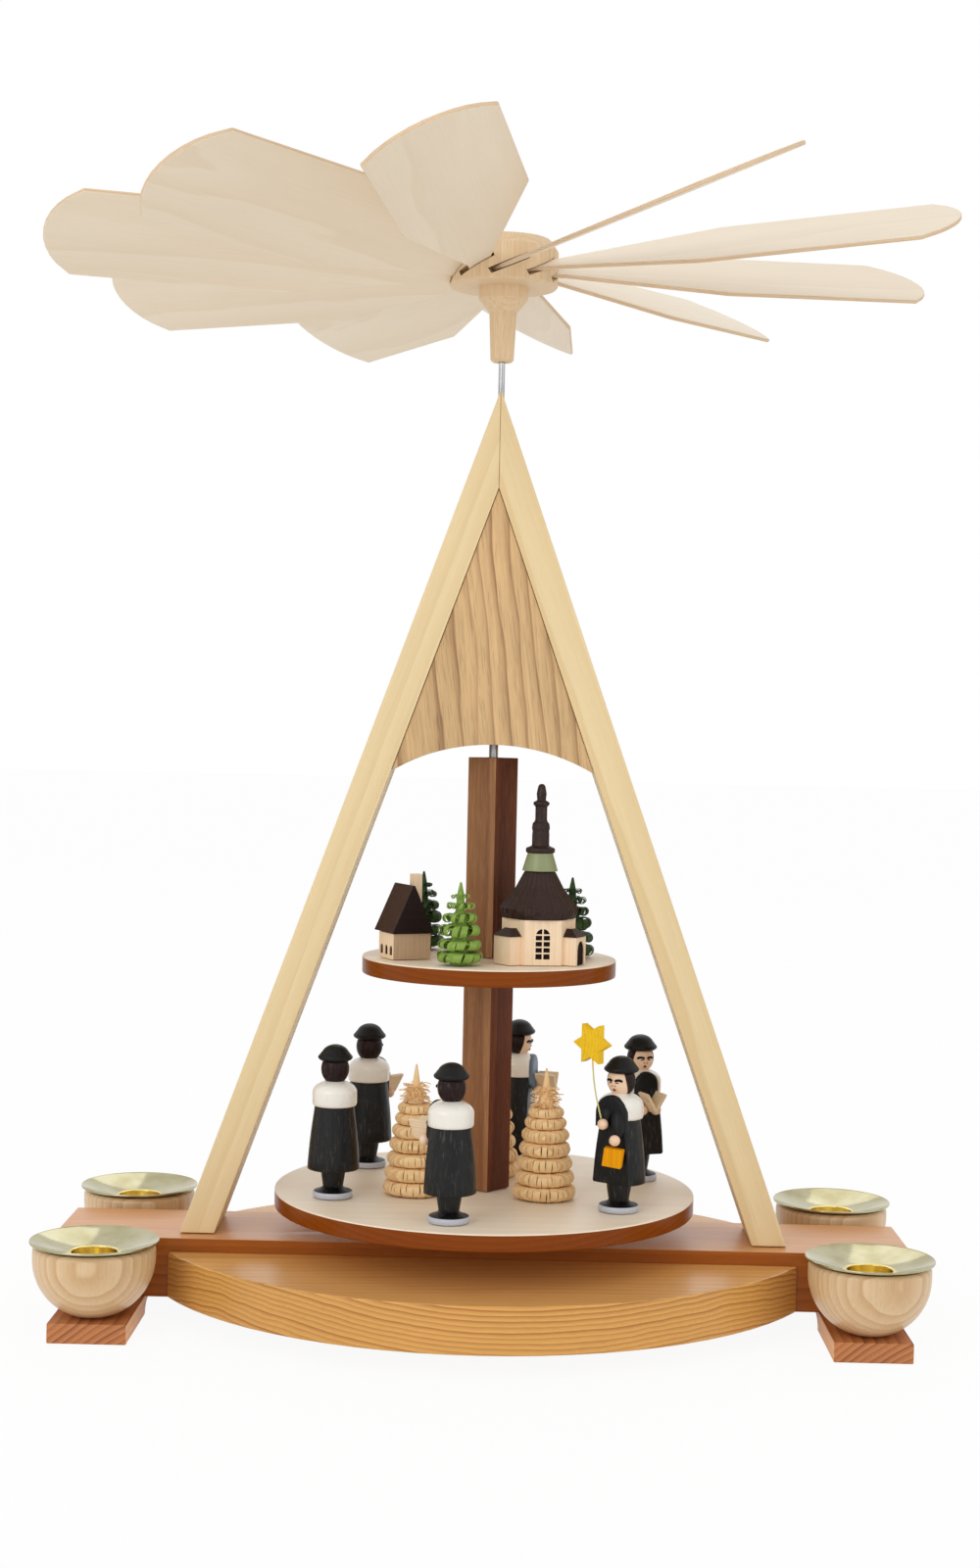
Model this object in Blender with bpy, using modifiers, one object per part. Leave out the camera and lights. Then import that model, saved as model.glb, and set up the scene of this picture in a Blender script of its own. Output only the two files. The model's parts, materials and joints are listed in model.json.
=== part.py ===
"""Two-tier candle carousel in turned and sawn wood, in metres, +Z up.

The origin is on the spindle's axis, at the level that the foot bars stand on. The front faces -Y.
The candles' warm air turns the impeller, which turns the spindle, the posts and both discs.
"""

import math

import bmesh
import bpy
from mathutils import Matrix, Vector

# Clearances and working values
SEAT_GAP = 0.0003
CUT_OVERRUN = 0.002
JOIN_OVERLAP = 0.001
WELD_DISTANCE = 0.000001
SHARP_ANGLE = math.radians(35)

# Foot bars, one under each end of the plank, hollowed underneath between their two feet
BAR_PAST_CUP = 0.013
BAR_WIDTH = 0.0267
BAR_HEIGHT = 0.0068
BAR_INSET = 0.0058
BAR_HOLLOW_LENGTH = 0.040
BAR_HOLLOW_RISE = 0.0046
BAR_HOLLOW_END = 0.007

# Base plank, and the curved steps in front of it and behind it
PLANK_LENGTH = 0.3014
PLANK_DEPTH = 0.0458
PLANK_HEIGHT = 0.0209
STEP_INSET = 0.0406
STEP_REACH = 0.0651
STEP_HEIGHT = 0.0162

# A-shaped frame: two legs that meet in a mitre, with a panel let in at the front and the back
FRAME_HALF_WIDTH = 0.1071
FRAME_RISE = 0.2993
LEG_WIDTH = 0.0115
LEG_DEPTH = 0.0316
PANEL_THICKNESS = 0.004
PANEL_RECESS = 0.0008
PANEL_FOOT_RISE = 0.1652
PANEL_ARCH_RISE = 0.0095

# Bearing cup in the plank and guide bush in the apex
BEARING_RADIUS = 0.0045
BEARING_HEIGHT = 0.005
BEARING_PROUD = 0.001
BEARING_MOUTH_RADIUS = 0.0024
BEARING_SEAT_RADIUS = 0.0005
BEARING_SEAT_DEPTH = 0.0041
BUSH_RADIUS = 0.0026
BUSH_LENGTH = 0.0134
BUSH_DROP = 0.0136

# Spindle: a steel rod with a needle point below and a thinner end above
SPINDLE_RADIUS = 0.00165
SPINDLE_TOP_RADIUS = 0.00115
SPINDLE_TOP_LENGTH = 0.103
NEEDLE_LENGTH = 0.006
NEEDLE_TIP_RADIUS = 0.00025

# Turning discs and the square posts, which stand with a corner to the front
# The lower disc's radius is a share of the frame's half width, so that it turns clear between the legs
LOWER_DISC_SHARE = 0.7003
UPPER_DISC_RADIUS = 0.0454
DISC_THICKNESS = 0.006
DISC_CLEARANCE = 0.00955
POST_SIDE = 0.0126
LOWER_POST_LENGTH = 0.07675
UPPER_POST_LENGTH = 0.0711
POST_TURN = math.radians(-38)

# Impeller hub, turned in one piece with its neck
HUB_LIFT = 0.0115
HUB_NECK_LENGTH = 0.0174
HUB_NECK_RADIUS = 0.00415
HUB_NECK_TOP_RADIUS = 0.0049
HUB_NECK_ROUNDING = 0.0008
HUB_FLARE_HEIGHT = 0.0047
HUB_COLLAR_RADIUS = 0.00875
HUB_COLLAR_HEIGHT = 0.0042
HUB_RADIUS = 0.01935
HUB_RIM_HEIGHT = 0.0128
HUB_RIM_CHAMFER = 0.0007
HUB_TOP_RADIUS = 0.0167
HUB_TOP_HEIGHT = 0.0038
HUB_BORE_ROOF = 0.0057

# Impeller blades: each stem sits in a slanting slot of the hub's rim, to one side of its own radius
BLADE_COUNT = 10
BLADE_THICKNESS = 0.0015
BLADE_PLANE_RISE = 0.00825
BLADE_OFFSET = 0.0075
BLADE_BEND_OFFSET = 0.0053
BLADE_START = 0.0093
BLADE_STEM_REACH = 0.019
BLADE_STEM_HALF_WIDTH = 0.0045
BLADE_BEND_REACH = 0.0760
BLADE_BEND_HALF_WIDTH = 0.0221
BLADE_CORNER_REACH = 0.1519
BLADE_CORNER_HALF_WIDTH = 0.0220
BLADE_CORNER_ROUNDING = 0.002
BLADE_TIP_REACH = 0.1610
SLOT_PAST_LOW_EDGE = 0.0035
SLOT_PAST_HIGH_EDGE = 0.001
BLADE_PITCH_DEGREES = 26.4
BLADE_RISE_DEGREES = 2.55
FIRST_BLADE_DEGREES = -91.6
# The blades are set by hand, each a little off its even place: degrees round the hub, up, and of pitch
BLADE_SETTING = (
    (-4.0, 1.5, -1.8), (-1.8, 0.9, -1.8), (2.5, 1.4, -0.6), (2.3, 0.3, 0.4), (3.2, 0.0, 0.0),
    (0.9, -0.1, -0.7), (-2.6, -2.4, 0.3), (-1.3, -2.1, 0.1), (0.4, -0.9, 1.6), (-0.1, 0.0, 2.9),
)

# Turned candle cups with brass wax plates
CUP_PLANK_CLEARANCE = 0.0033
CUP_RADIUS = 0.0208
CUP_HEIGHT = 0.0238
CUP_BELLY_HEIGHT = 0.0194
CUP_BELLY_CURVE = 0.0205
CUP_MOUTH_RADIUS = 0.0196
CUP_FLOOR = 0.0094
PLATE_SLOPE = 0.277
PLATE_RADIUS = 0.0219
PLATE_THICKNESS = 0.0006
PLATE_BEAD = 0.0005
SOCKET_RADIUS = 0.0077
SOCKET_WALL = 0.0006
SOCKET_DEPTH = 0.0113
SOCKET_LIP = 0.0006

# Ring trees: natural ones on the lower disc, green ones on the upper disc
# Each ring widens and deepens downwards. The shares are of the tree's own height, radius or ring
TREE_TIP_SHARE = 0.11
TREE_POINT_SHARE = 0.05
TREE_DEEPENING_SHARE = 0.33
TREE_LIP_SHARE = 0.92
TREE_FOOT_SHARE = 0.96
NATURAL_TREE_HEIGHT = 0.0458
NATURAL_TREE_RADIUS = 0.0110
NATURAL_TREE_TIERS = 9
NATURAL_TREE_CHIPS = 6
NATURAL_CROWN_SHARE = 0.30
NATURAL_VALLEY_SHARE = 0.76
NATURAL_NOTCH_SHARE = 0.86
NATURAL_TREE_PLACE_SHARES = ((-0.329, -0.170), (0.284, -0.205), (0.019, 0.320))
GREEN_TREE_HEIGHT = 0.0286
GREEN_TREE_RADIUS = 0.0084
GREEN_TREE_TIERS = 7
GREEN_TREE_CHIPS = 6
GREEN_CROWN_SHARE = 0.34
GREEN_VALLEY_SHARE = 0.52
GREEN_NOTCH_SHARE = 0.74
GREEN_TREE_PLACE_SHARES = ((-0.220, -0.716), (-0.546, 0.485), (0.650, 0.132))

# Carolers: one turned body with a flat front, a yoke that is both upper arms in one, two sleeves and two hands
FIGURE_BASE_RADIUS = 0.0070
FIGURE_BASE_HEIGHT = 0.0021
FIGURE_SHOE_RADIUS = 0.0064
FIGURE_ANKLE_RADIUS = 0.0035
FIGURE_ANKLE_HEIGHT = 0.0037
FIGURE_LEG_RADIUS = 0.00435
FIGURE_HEM_HEIGHT = 0.0098
FIGURE_COAT_RADIUS = 0.0089
FIGURE_COAT_ROUNDING = 0.0006
FIGURE_CHEST_RADIUS = 0.0063
FIGURE_CAPE_HEM_HEIGHT = 0.0320
FIGURE_CAPE_RADIUS = 0.0076
FIGURE_SHOULDER_HEIGHT = 0.0372
FIGURE_NECK_RADIUS = 0.0029
FIGURE_NECK_HEIGHT = 0.0411
FIGURE_HEAD_RADIUS = 0.0047
FIGURE_HEAD_HEIGHT = 0.0449
FIGURE_BRIM_RADIUS = 0.0061
FIGURE_BRIM_HEIGHT = 0.0477
FIGURE_CROWN_RADIUS = 0.0053
FIGURE_CROWN_RISE = 0.0056
FRONT_FLAT_FORWARD = 0.0056
YOKE_WIDTH = 0.0108
YOKE_LENGTH = 0.0105
YOKE_TOP_HEIGHT = 0.0400
YOKE_FORWARD = 0.0067
SHOULDER_FORWARD = 0.0046
SHOULDER_SIDE = 0.0027
SLEEVE_TOP_HEIGHT = 0.0352
SLEEVE_RADIUS = 0.0026
SLEEVE_ROUND_END = 0.0014
SLEEVE_TAPER_SHARE = 0.18
CUFF_BEHIND_HAND = 0.0017
CUFF_ABOVE_HAND = 0.0015
HAND_RADIUS = 0.0019
HAND_FORWARD = 0.0089
HAND_SIDE = 0.0034
HAND_HEIGHT = 0.0268
FIGURE_SIDES = 10

# The carolers stand on a ring, a share of the disc's radius
# Their places: name, degrees round the disc, reach as a share of the ring, heading in degrees
CAROLER_RING_SHARE = 0.76
CAROLER_PLACE_SHARES = (
    ("front", -100.8, 1.044, 145.0),
    ("left", -157.4, 1.003, 100.0),
    ("rear_left", 141.7, 0.992, 50.0),
    ("rear", 78.2, 1.020, -15.0),
    ("right", 21.2, 1.060, -68.0),
)
BEARER_PLACE_SHARE = ("star_bearer", -36.0, 1.012, -127.0)

# Open songbooks in the carolers' hands
BOOK_LENGTH = 0.0076
BOOK_START = 0.0073
BOOK_SPINE_HEIGHT = 0.0262
LEAF_WIDTH = 0.0080
LEAF_THICKNESS = 0.0011
LEAF_LEAN = math.radians(31)

# The star bearer's right hand holds the star's wire, and the left hand the lantern
STAR_HAND_FORWARD = 0.0086
STAR_HAND_SIDE = 0.0014
STAR_HAND_HEIGHT = 0.0306
LANTERN_HAND_FORWARD = 0.0096
LANTERN_HAND_SIDE = 0.0043
LANTERN_HAND_HEIGHT = 0.0258
STAR_RADIUS = 0.0076
STAR_THICKNESS = 0.0030
STAR_HEIGHT = 0.0583
STAR_LEAN = 0.0034
STAR_BOW = 0.0007
STAR_TURN = math.radians(-43)
STAR_WIRE_RADIUS = 0.0003
STAR_WIRE_FORWARD = 0.0012
LANTERN_WIDTH = 0.0066
LANTERN_DEPTH = 0.0040
LANTERN_HEIGHT = 0.0063
LANTERN_TURN = math.radians(-12)
LANTERN_SWING = math.radians(7)

# The near house, with its own frame: gable to the front, eaves to the sides
HOUSE_WIDTH = 0.0142
HOUSE_LENGTH = 0.0130
HOUSE_WALL_HEIGHT = 0.0090
HOUSE_ROOF_HEIGHT = 0.0166
HOUSE_EAVE = 0.0008
HOUSE_FRONT_OVERHANG = 0.001
HOUSE_BACK_OVERHANG = 0.0028
HOUSE_RIDGE_WIDTH = 0.0007
HOUSE_PLACE_SHARE = (-0.656, -0.286)
HOUSE_TURN = math.radians(26)
CHIMNEY_SIDE = 0.0034
CHIMNEY_RISE = 0.0036
CHIMNEY_ACROSS = 0.0045
CHIMNEY_BACK = 0.0014
HOUSE_WINDOW_WIDTH = 0.0022
HOUSE_WINDOW_HEIGHT = 0.0034
HOUSE_WINDOW_SILL = 0.0014
HOUSE_WINDOW_PITCH = 0.0041
HOUSE_WINDOW_COUNT = 3
RECESS_DEPTH = 0.0004

# The far house, behind the post
FAR_HOUSE_WIDTH = 0.0110
FAR_HOUSE_LENGTH = 0.0140
FAR_HOUSE_WALL_HEIGHT = 0.0090
FAR_HOUSE_ROOF_HEIGHT = 0.0115
FAR_HOUSE_PLACE_SHARE = (-0.048, 0.529)
FAR_HOUSE_TURN = math.radians(90)

# The church: a six-sided nave with two porches, a turned and ribbed roof and a turned spire
NAVE_RADIUS = 0.0130
NAVE_HEIGHT = 0.0156
CHURCH_PLACE_SHARE = (0.381, -0.407)
CHURCH_TURN = math.radians(7)
PORCH_WIDTH = 0.0094
PORCH_DEPTH = 0.0047
PORCH_HEIGHT = 0.0098
PORCH_ROOF_RISE = 0.0028
PORCH_ROOF_EAVE = 0.0004
PORCH_RIDGE_WIDTH = 0.0040
CHURCH_ROOF_RADIUS = 0.0140
CHURCH_ROOF_LIP = 0.0033
CHURCH_ROOF_HEIGHT = 0.0159
CHURCH_ROOF_WAIST = 0.0086
CHURCH_ROOF_WAIST_HEIGHT = 0.0100
CHURCH_ROOF_TOP_RADIUS = 0.0055
CHURCH_ROOF_RIBS = 20
RIB_GROOVE_SHARE = 0.975
SPIRE_COLLAR_RADIUS = 0.0063
SPIRE_COLLAR_TOP_RADIUS = 0.00445
SPIRE_COLLAR_HEIGHT = 0.0059
SPIRE_HEIGHT = 0.0304
# The spire above its foot: radius as a share of the collar's radius, height as a share of the whole
SPIRE_PROFILE_SHARES = (
    (0.10, 1.000), (0.20, 0.975), (0.28, 0.890), (0.24, 0.812), (0.45, 0.790), (0.45, 0.762),
    (0.33, 0.740), (0.33, 0.590), (0.36, 0.570), (0.47, 0.545), (0.50, 0.487), (0.46, 0.460),
    (0.48, 0.418), (0.48, 0.290), (0.81, 0.262), (0.81, 0.215),
)
CHURCH_WINDOW_WIDTH = 0.0050
CHURCH_WINDOW_HEIGHT = 0.0106
CHURCH_WINDOW_SILL = 0.0021
CHURCH_WINDOW_ROWS = 5
GLAZING_BAR = 0.0005
CHURCH_DOOR_WIDTH = 0.0064
CHURCH_DOOR_HEIGHT = 0.0084

# Levels worked out from the sizes above
BAR_CENTRE_X = PLANK_LENGTH / 2 - BAR_INSET - BAR_WIDTH / 2
STEP_HALF_CHORD = PLANK_LENGTH / 2 - STEP_INSET
CUP_Y = PLANK_DEPTH / 2 + CUP_PLANK_CLEARANCE + CUP_RADIUS
BAR_LENGTH = 2 * (CUP_Y + BAR_PAST_CUP)
PLANK_BASE = BAR_HEIGHT + SEAT_GAP
PLANK_TOP = PLANK_BASE + PLANK_HEIGHT
LEG_FOOT = PLANK_TOP + SEAT_GAP
LEG_SLOPE = FRAME_HALF_WIDTH / FRAME_RISE
LOWER_DISC_RADIUS = FRAME_HALF_WIDTH * LOWER_DISC_SHARE
CAROLER_RING_RADIUS = LOWER_DISC_RADIUS * CAROLER_RING_SHARE
LEG_WIDTH_ACROSS = LEG_WIDTH * math.hypot(1, LEG_SLOPE)
FRAME_TOP = LEG_FOOT + FRAME_RISE
CROTCH = FRAME_TOP - LEG_WIDTH_ACROSS / LEG_SLOPE
BEARING_BASE = PLANK_TOP + BEARING_PROUD - BEARING_HEIGHT
BORE_RADIUS = SPINDLE_RADIUS + SEAT_GAP
TOP_BORE_RADIUS = SPINDLE_TOP_RADIUS + SEAT_GAP
LOWER_DISC_BASE = PLANK_TOP + DISC_CLEARANCE
LOWER_DISC_TOP = LOWER_DISC_BASE + DISC_THICKNESS
LOWER_POST_BASE = LOWER_DISC_TOP + SEAT_GAP
UPPER_DISC_BASE = LOWER_POST_BASE + LOWER_POST_LENGTH + SEAT_GAP
UPPER_DISC_TOP = UPPER_DISC_BASE + DISC_THICKNESS
UPPER_POST_BASE = UPPER_DISC_TOP + SEAT_GAP
HUB_BASE = FRAME_TOP + HUB_LIFT
HUB_COLLAR_BASE = HUB_BASE + HUB_NECK_LENGTH + HUB_FLARE_HEIGHT
HUB_RIM_BASE = HUB_COLLAR_BASE + HUB_COLLAR_HEIGHT
HUB_TOP = HUB_RIM_BASE + HUB_RIM_HEIGHT + HUB_TOP_HEIGHT
BLADE_PLANE = HUB_RIM_BASE + BLADE_PLANE_RISE
SPINDLE_TOP = HUB_TOP - HUB_BORE_ROOF - SEAT_GAP
CUP_BASE = BAR_HEIGHT + SEAT_GAP
CUP_RIM = CUP_BASE + CUP_HEIGHT
SOCKET_BORE_RADIUS = SOCKET_RADIUS + SOCKET_WALL + SEAT_GAP
LOWER_FLOOR = LOWER_DISC_TOP + SEAT_GAP
UPPER_FLOOR = UPPER_DISC_TOP + SEAT_GAP

# Axes of a flat shape that is stood up: facing the front, and facing along +X
FACING_FRONT = Matrix(((1, 0, 0), (0, 0, -1), (0, 1, 0))).to_4x4()
FACING_ALONG = Matrix(((0, 0, 1), (1, 0, 0), (0, 1, 0))).to_4x4()


def clear_scene():
    for existing in list(bpy.data.objects):
        bpy.data.objects.remove(existing, do_unlink=True)


def new_collection(name):
    collection = bpy.data.collections.new(name)
    bpy.context.scene.collection.children.link(collection)
    return collection


def linear(channel):
    """A display value from 0 to 255 as the linear value that a shader takes."""
    return (channel / 255) ** 2.2


def finish(name, colour, roughness, metallic=0.0):
    made = bpy.data.materials.new(name)
    made.use_nodes = True
    shader = made.node_tree.nodes["Principled BSDF"]
    shader.inputs["Base Color"].default_value = (*map(linear, colour), 1.0)
    shader.inputs["Roughness"].default_value = roughness
    shader.inputs["Metallic"].default_value = metallic
    return made


def add_piece(name, mesh, surface, where=(0, 0, 0), turn=0.0):
    """A piece of the carousel, which stands still unless it is handed to the turning axis."""
    mesh.materials.append(surface)
    piece = bpy.data.objects.new(name, mesh)
    piece.location = where
    piece.rotation_euler.z = turn
    PART.objects.link(piece)
    return piece


def add_tool(name, mesh, host=None, where=(0, 0, 0), turn=0.0):
    """A shape that cuts or joins, placed in its host's own frame."""
    tool = bpy.data.objects.new(name, mesh)
    tool.parent = host
    tool.location = where
    tool.rotation_euler.z = turn
    tool.hide_render = True
    tool.display_type = "WIRE"
    TOOLS.objects.link(tool)
    return tool


def combine(piece, tool, operation):
    step = piece.modifiers.new(tool.name, "BOOLEAN")
    step.operation = operation
    step.object = tool


def mesh_from(shape, name):
    mesh = bpy.data.meshes.new(name)
    shape.to_mesh(mesh)
    shape.free()
    return mesh


def box_mesh(name, length, depth, height, base=0.0):
    """A box centred on Z, standing on the level called base."""
    shape = bmesh.new()
    bmesh.ops.create_cube(shape, size=1)
    bmesh.ops.scale(shape, vec=(length, depth, height), verts=shape.verts)
    bmesh.ops.translate(shape, vec=(0, 0, base + height / 2), verts=shape.verts)
    return mesh_from(shape, name)


def rod_mesh(name, radius, base, top, sides):
    shape = bmesh.new()
    middle = Matrix.Translation((0, 0, (base + top) / 2))
    bmesh.ops.create_cone(
        shape, cap_ends=True, segments=sides, radius1=radius, radius2=radius,
        depth=top - base, matrix=middle,
    )
    return mesh_from(shape, name)


def ball_mesh(name, radius, columns, rows):
    shape = bmesh.new()
    bmesh.ops.create_uvsphere(shape, u_segments=columns, v_segments=rows, radius=radius)
    return mesh_from(shape, name)


def profile_mesh(name, profile, closed=False):
    """The line that a turned piece is spun from: (radius, height) down its outer side."""
    mesh = bpy.data.meshes.new(name)
    points = [(radius, 0, height) for radius, height in profile]
    edges = [(index, index + 1) for index in range(len(points) - 1)]
    if closed:
        edges.append((len(points) - 1, 0))
    mesh.from_pydata(points, edges, [])
    return mesh


def turn_on_lathe(piece, sides):
    lathe = piece.modifiers.new("Lathe", "SCREW")
    lathe.steps = sides
    lathe.render_steps = sides
    lathe.use_merge_vertices = True
    lathe.merge_threshold = WELD_DISTANCE


def turned_piece(name, profile, sides, surface, where=(0, 0, 0), turn=0.0, closed=False):
    piece = add_piece(name, profile_mesh(name, profile, closed), surface, where, turn)
    turn_on_lathe(piece, sides)
    return piece


def evaluated_mesh(thing):
    bpy.context.view_layer.update()
    graph = bpy.context.evaluated_depsgraph_get()
    return bpy.data.meshes.new_from_object(thing.evaluated_get(graph))


def weld(mesh):
    shape = bmesh.new()
    shape.from_mesh(mesh)
    bmesh.ops.remove_doubles(shape, verts=shape.verts, dist=WELD_DISTANCE)
    shape.to_mesh(mesh)
    shape.free()


def flat_mesh(name, outline, thickness, stand=None):
    """A sheet with this outline in XY, its thickness centred on the outline, then stood up."""
    curve = bpy.data.curves.new(name, "CURVE")
    curve.dimensions = "2D"
    curve.fill_mode = "BOTH"
    curve.extrude = thickness / 2
    line = curve.splines.new("POLY")
    line.points.add(len(outline) - 1)
    for point, (x, y) in zip(line.points, outline):
        point.co = (x, y, 0, 1)
    line.use_cyclic_u = True
    guide = bpy.data.objects.new(name, curve)
    TOOLS.objects.link(guide)
    mesh = evaluated_mesh(guide)
    bpy.data.objects.remove(guide)
    weld(mesh)
    if stand:
        mesh.transform(stand)
    return mesh


def wire_mesh(name, points, radius):
    """A bent wire through the given points, with closed ends."""
    curve = bpy.data.curves.new(name, "CURVE")
    curve.dimensions = "3D"
    curve.bevel_depth = radius
    curve.bevel_resolution = 1
    curve.use_fill_caps = True
    line = curve.splines.new("POLY")
    line.points.add(len(points) - 1)
    for point, place in zip(line.points, points):
        point.co = (*place, 1)
    guide = bpy.data.objects.new(name, curve)
    TOOLS.objects.link(guide)
    mesh = evaluated_mesh(guide)
    bpy.data.objects.remove(guide)
    weld(mesh)
    return mesh


def arc(centre, radii, start, end, steps):
    """Points along a round or oval arc, from one angle in degrees to another."""
    points = []
    for step in range(steps + 1):
        angle = math.radians(start + (end - start) * step / steps)
        points.append((centre[0] + radii[0] * math.cos(angle), centre[1] + radii[1] * math.sin(angle)))
    return points


def sagitta_radius(half_chord, rise):
    return (half_chord ** 2 + rise ** 2) / (2 * rise)


def arched_outline(width, height, steps):
    """A window or door with a half-round head, standing on its sill at zero."""
    half = width / 2
    return [(-half, 0), (half, 0)] + arc((0, height - half), (half, half), 0, 180, steps)


def around(degrees, reach):
    angle = math.radians(degrees)
    return reach * math.cos(angle), reach * math.sin(angle)


def settle(piece):
    """Keeps the shape that the modifiers give, and shades it smooth apart from its sharp edges."""
    mesh = evaluated_mesh(piece)
    piece.modifiers.clear()
    piece.data = mesh
    mesh.shade_smooth()
    mesh.set_sharp_from_angle(angle=SHARP_ANGLE)


def make_foot_bars():
    half = BAR_LENGTH / 2
    hollow = BAR_HOLLOW_LENGTH / 2
    turn_in = hollow - BAR_HOLLOW_END
    size = (BAR_HOLLOW_END, BAR_HOLLOW_RISE)
    outline = [(-half, 0)] + arc((-turn_in, 0), size, 180, 90, 4) + arc((turn_in, 0), size, 90, 0, 4)
    outline += [(half, 0), (half, BAR_HEIGHT), (-half, BAR_HEIGHT)]
    for side, name in ((-1, "left_foot_bar"), (1, "right_foot_bar")):
        mesh = flat_mesh(name, outline, BAR_WIDTH, FACING_ALONG)
        add_piece(name, mesh, LARCH, (side * BAR_CENTRE_X, 0, 0))


def make_plank():
    mesh = box_mesh("base_plank", PLANK_LENGTH, PLANK_DEPTH, PLANK_HEIGHT, PLANK_BASE)
    plank = add_piece("base_plank", mesh, PLANK_PINE)
    pocket = rod_mesh(
        "bearing_pocket", BEARING_RADIUS + SEAT_GAP, BEARING_BASE - SEAT_GAP, PLANK_TOP + CUT_OVERRUN, 24
    )
    combine(plank, add_tool("bearing_pocket", pocket), "DIFFERENCE")


def make_steps():
    radius = sagitta_radius(STEP_HALF_CHORD, STEP_REACH)
    half_angle = math.degrees(math.asin(STEP_HALF_CHORD / radius))
    front = -PLANK_DEPTH / 2 - SEAT_GAP
    centre = (0, front - STEP_REACH + radius)
    outline = arc(centre, (radius, radius), -90 - half_angle, -90 + half_angle, 26)
    middle = PLANK_BASE + STEP_HEIGHT / 2
    for name, turn in (("front_base_segment", 0), ("rear_base_segment", math.pi)):
        add_piece(name, flat_mesh(name, outline, STEP_HEIGHT), STEP_PINE, (0, 0, middle), turn)


def make_legs():
    shoulder = SEAT_GAP / 2
    apex = FRAME_TOP - shoulder / LEG_SLOPE
    crotch = CROTCH - shoulder / LEG_SLOPE
    inner_foot = FRAME_HALF_WIDTH - LEG_WIDTH_ACROSS
    outline = [
        (inner_foot, LEG_FOOT), (FRAME_HALF_WIDTH, LEG_FOOT), (shoulder, apex), (shoulder, crotch),
    ]
    groove_foot = CROTCH - TOP_BORE_RADIUS / LEG_SLOPE - CUT_OVERRUN
    groove = rod_mesh("spindle_groove", TOP_BORE_RADIUS, groove_foot, FRAME_TOP + CUT_OVERRUN, 16)
    bush_top = FRAME_TOP - BUSH_DROP
    pocket = rod_mesh(
        "bush_pocket", BUSH_RADIUS + SEAT_GAP, bush_top - BUSH_LENGTH - SEAT_GAP, bush_top + SEAT_GAP, 16
    )
    cutters = (add_tool("spindle_groove", groove), add_tool("bush_pocket", pocket))
    for name, turn in (("right_frame_leg", 0), ("left_frame_leg", math.pi)):
        leg = add_piece(name, flat_mesh(name, outline, LEG_DEPTH, FACING_FRONT), LIME_WOOD, turn=turn)
        for cutter in cutters:
            combine(leg, cutter, "DIFFERENCE")


def make_panels():
    foot = LEG_FOOT + PANEL_FOOT_RISE
    top = CROTCH - SEAT_GAP / LEG_SLOPE
    half_width = (top - foot) * LEG_SLOPE
    radius = sagitta_radius(half_width, PANEL_ARCH_RISE)
    half_angle = math.degrees(math.asin(half_width / radius))
    arch_centre = (0, foot + PANEL_ARCH_RISE - radius)
    outline = [(0, top)] + arc(arch_centre, (radius, radius), 90 + half_angle, 90 - half_angle, 20)
    reach = LEG_DEPTH / 2 - PANEL_RECESS - PANEL_THICKNESS / 2
    for name, place in (("front_gable_panel", -reach), ("rear_gable_panel", reach)):
        add_piece(name, flat_mesh(name, outline, PANEL_THICKNESS, FACING_FRONT), ASH, (0, place, 0))


def make_bearing():
    top = BEARING_HEIGHT
    profile = [
        (0, top - BEARING_SEAT_DEPTH), (BEARING_SEAT_RADIUS, top - BEARING_SEAT_DEPTH),
        (BEARING_MOUTH_RADIUS, top), (BEARING_RADIUS, top), (BEARING_RADIUS, 0), (0, 0),
    ]
    turned_piece("bearing_cup", profile, 12, STEEL, (0, 0, BEARING_BASE))


def make_bush():
    top = FRAME_TOP - BUSH_DROP
    base = top - BUSH_LENGTH
    profile = [(TOP_BORE_RADIUS, top), (BUSH_RADIUS, top), (BUSH_RADIUS, base), (TOP_BORE_RADIUS, base)]
    turned_piece("apex_guide_bush", profile, 12, BRASS, closed=True)


def cup_profile():
    """Down the recess from the bore's floor to the mouth, then down the round belly."""
    belly = CUP_BASE + CUP_BELLY_HEIGHT
    mouth_drop = PLATE_SLOPE * (CUP_MOUTH_RADIUS - SOCKET_BORE_RADIUS)
    profile = [
        (0, CUP_BASE + CUP_FLOOR), (SOCKET_BORE_RADIUS, CUP_BASE + CUP_FLOOR),
        (SOCKET_BORE_RADIUS, CUP_RIM - mouth_drop), (CUP_MOUTH_RADIUS, CUP_RIM),
    ]
    edge = (CUP_RADIUS - CUP_MOUTH_RADIUS, CUP_RIM - belly)
    profile += arc((CUP_MOUTH_RADIUS, belly), edge, 45, 0, 1)
    deepest = math.degrees(math.asin(CUP_BELLY_HEIGHT / CUP_BELLY_CURVE))
    profile += arc((0, belly), (CUP_RADIUS, CUP_BELLY_CURVE), 0, -deepest, 5)[1:]
    return profile + [(0, CUP_BASE)]


def plate_profile():
    """Over the socket's floor, up its wall, out along the dish, round the bead and back below."""
    slope_top = CUP_RIM + SEAT_GAP + PLATE_THICKNESS
    inner = SOCKET_RADIUS + SOCKET_WALL
    dish_edge = PLATE_RADIUS - PLATE_BEAD
    upper = {
        radius: slope_top - PLATE_SLOPE * (CUP_MOUTH_RADIUS - radius)
        for radius in (inner + SOCKET_LIP, dish_edge)
    }
    lip = upper[inner + SOCKET_LIP]
    rim = upper[dish_edge]
    floor = lip - SOCKET_DEPTH
    return [
        (0, floor), (SOCKET_RADIUS, floor), (SOCKET_RADIUS, lip), (inner, lip + SOCKET_LIP / 2),
        (inner + SOCKET_LIP, lip), (dish_edge, rim), (dish_edge + PLATE_BEAD / 2, rim + PLATE_BEAD / 2),
        (PLATE_RADIUS, rim), (PLATE_RADIUS, rim - PLATE_THICKNESS), (dish_edge, rim - PLATE_THICKNESS),
        (inner, lip - PLATE_THICKNESS - PLATE_SLOPE * SOCKET_LIP), (inner, floor - SOCKET_WALL),
        (0, floor - SOCKET_WALL),
    ]


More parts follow.
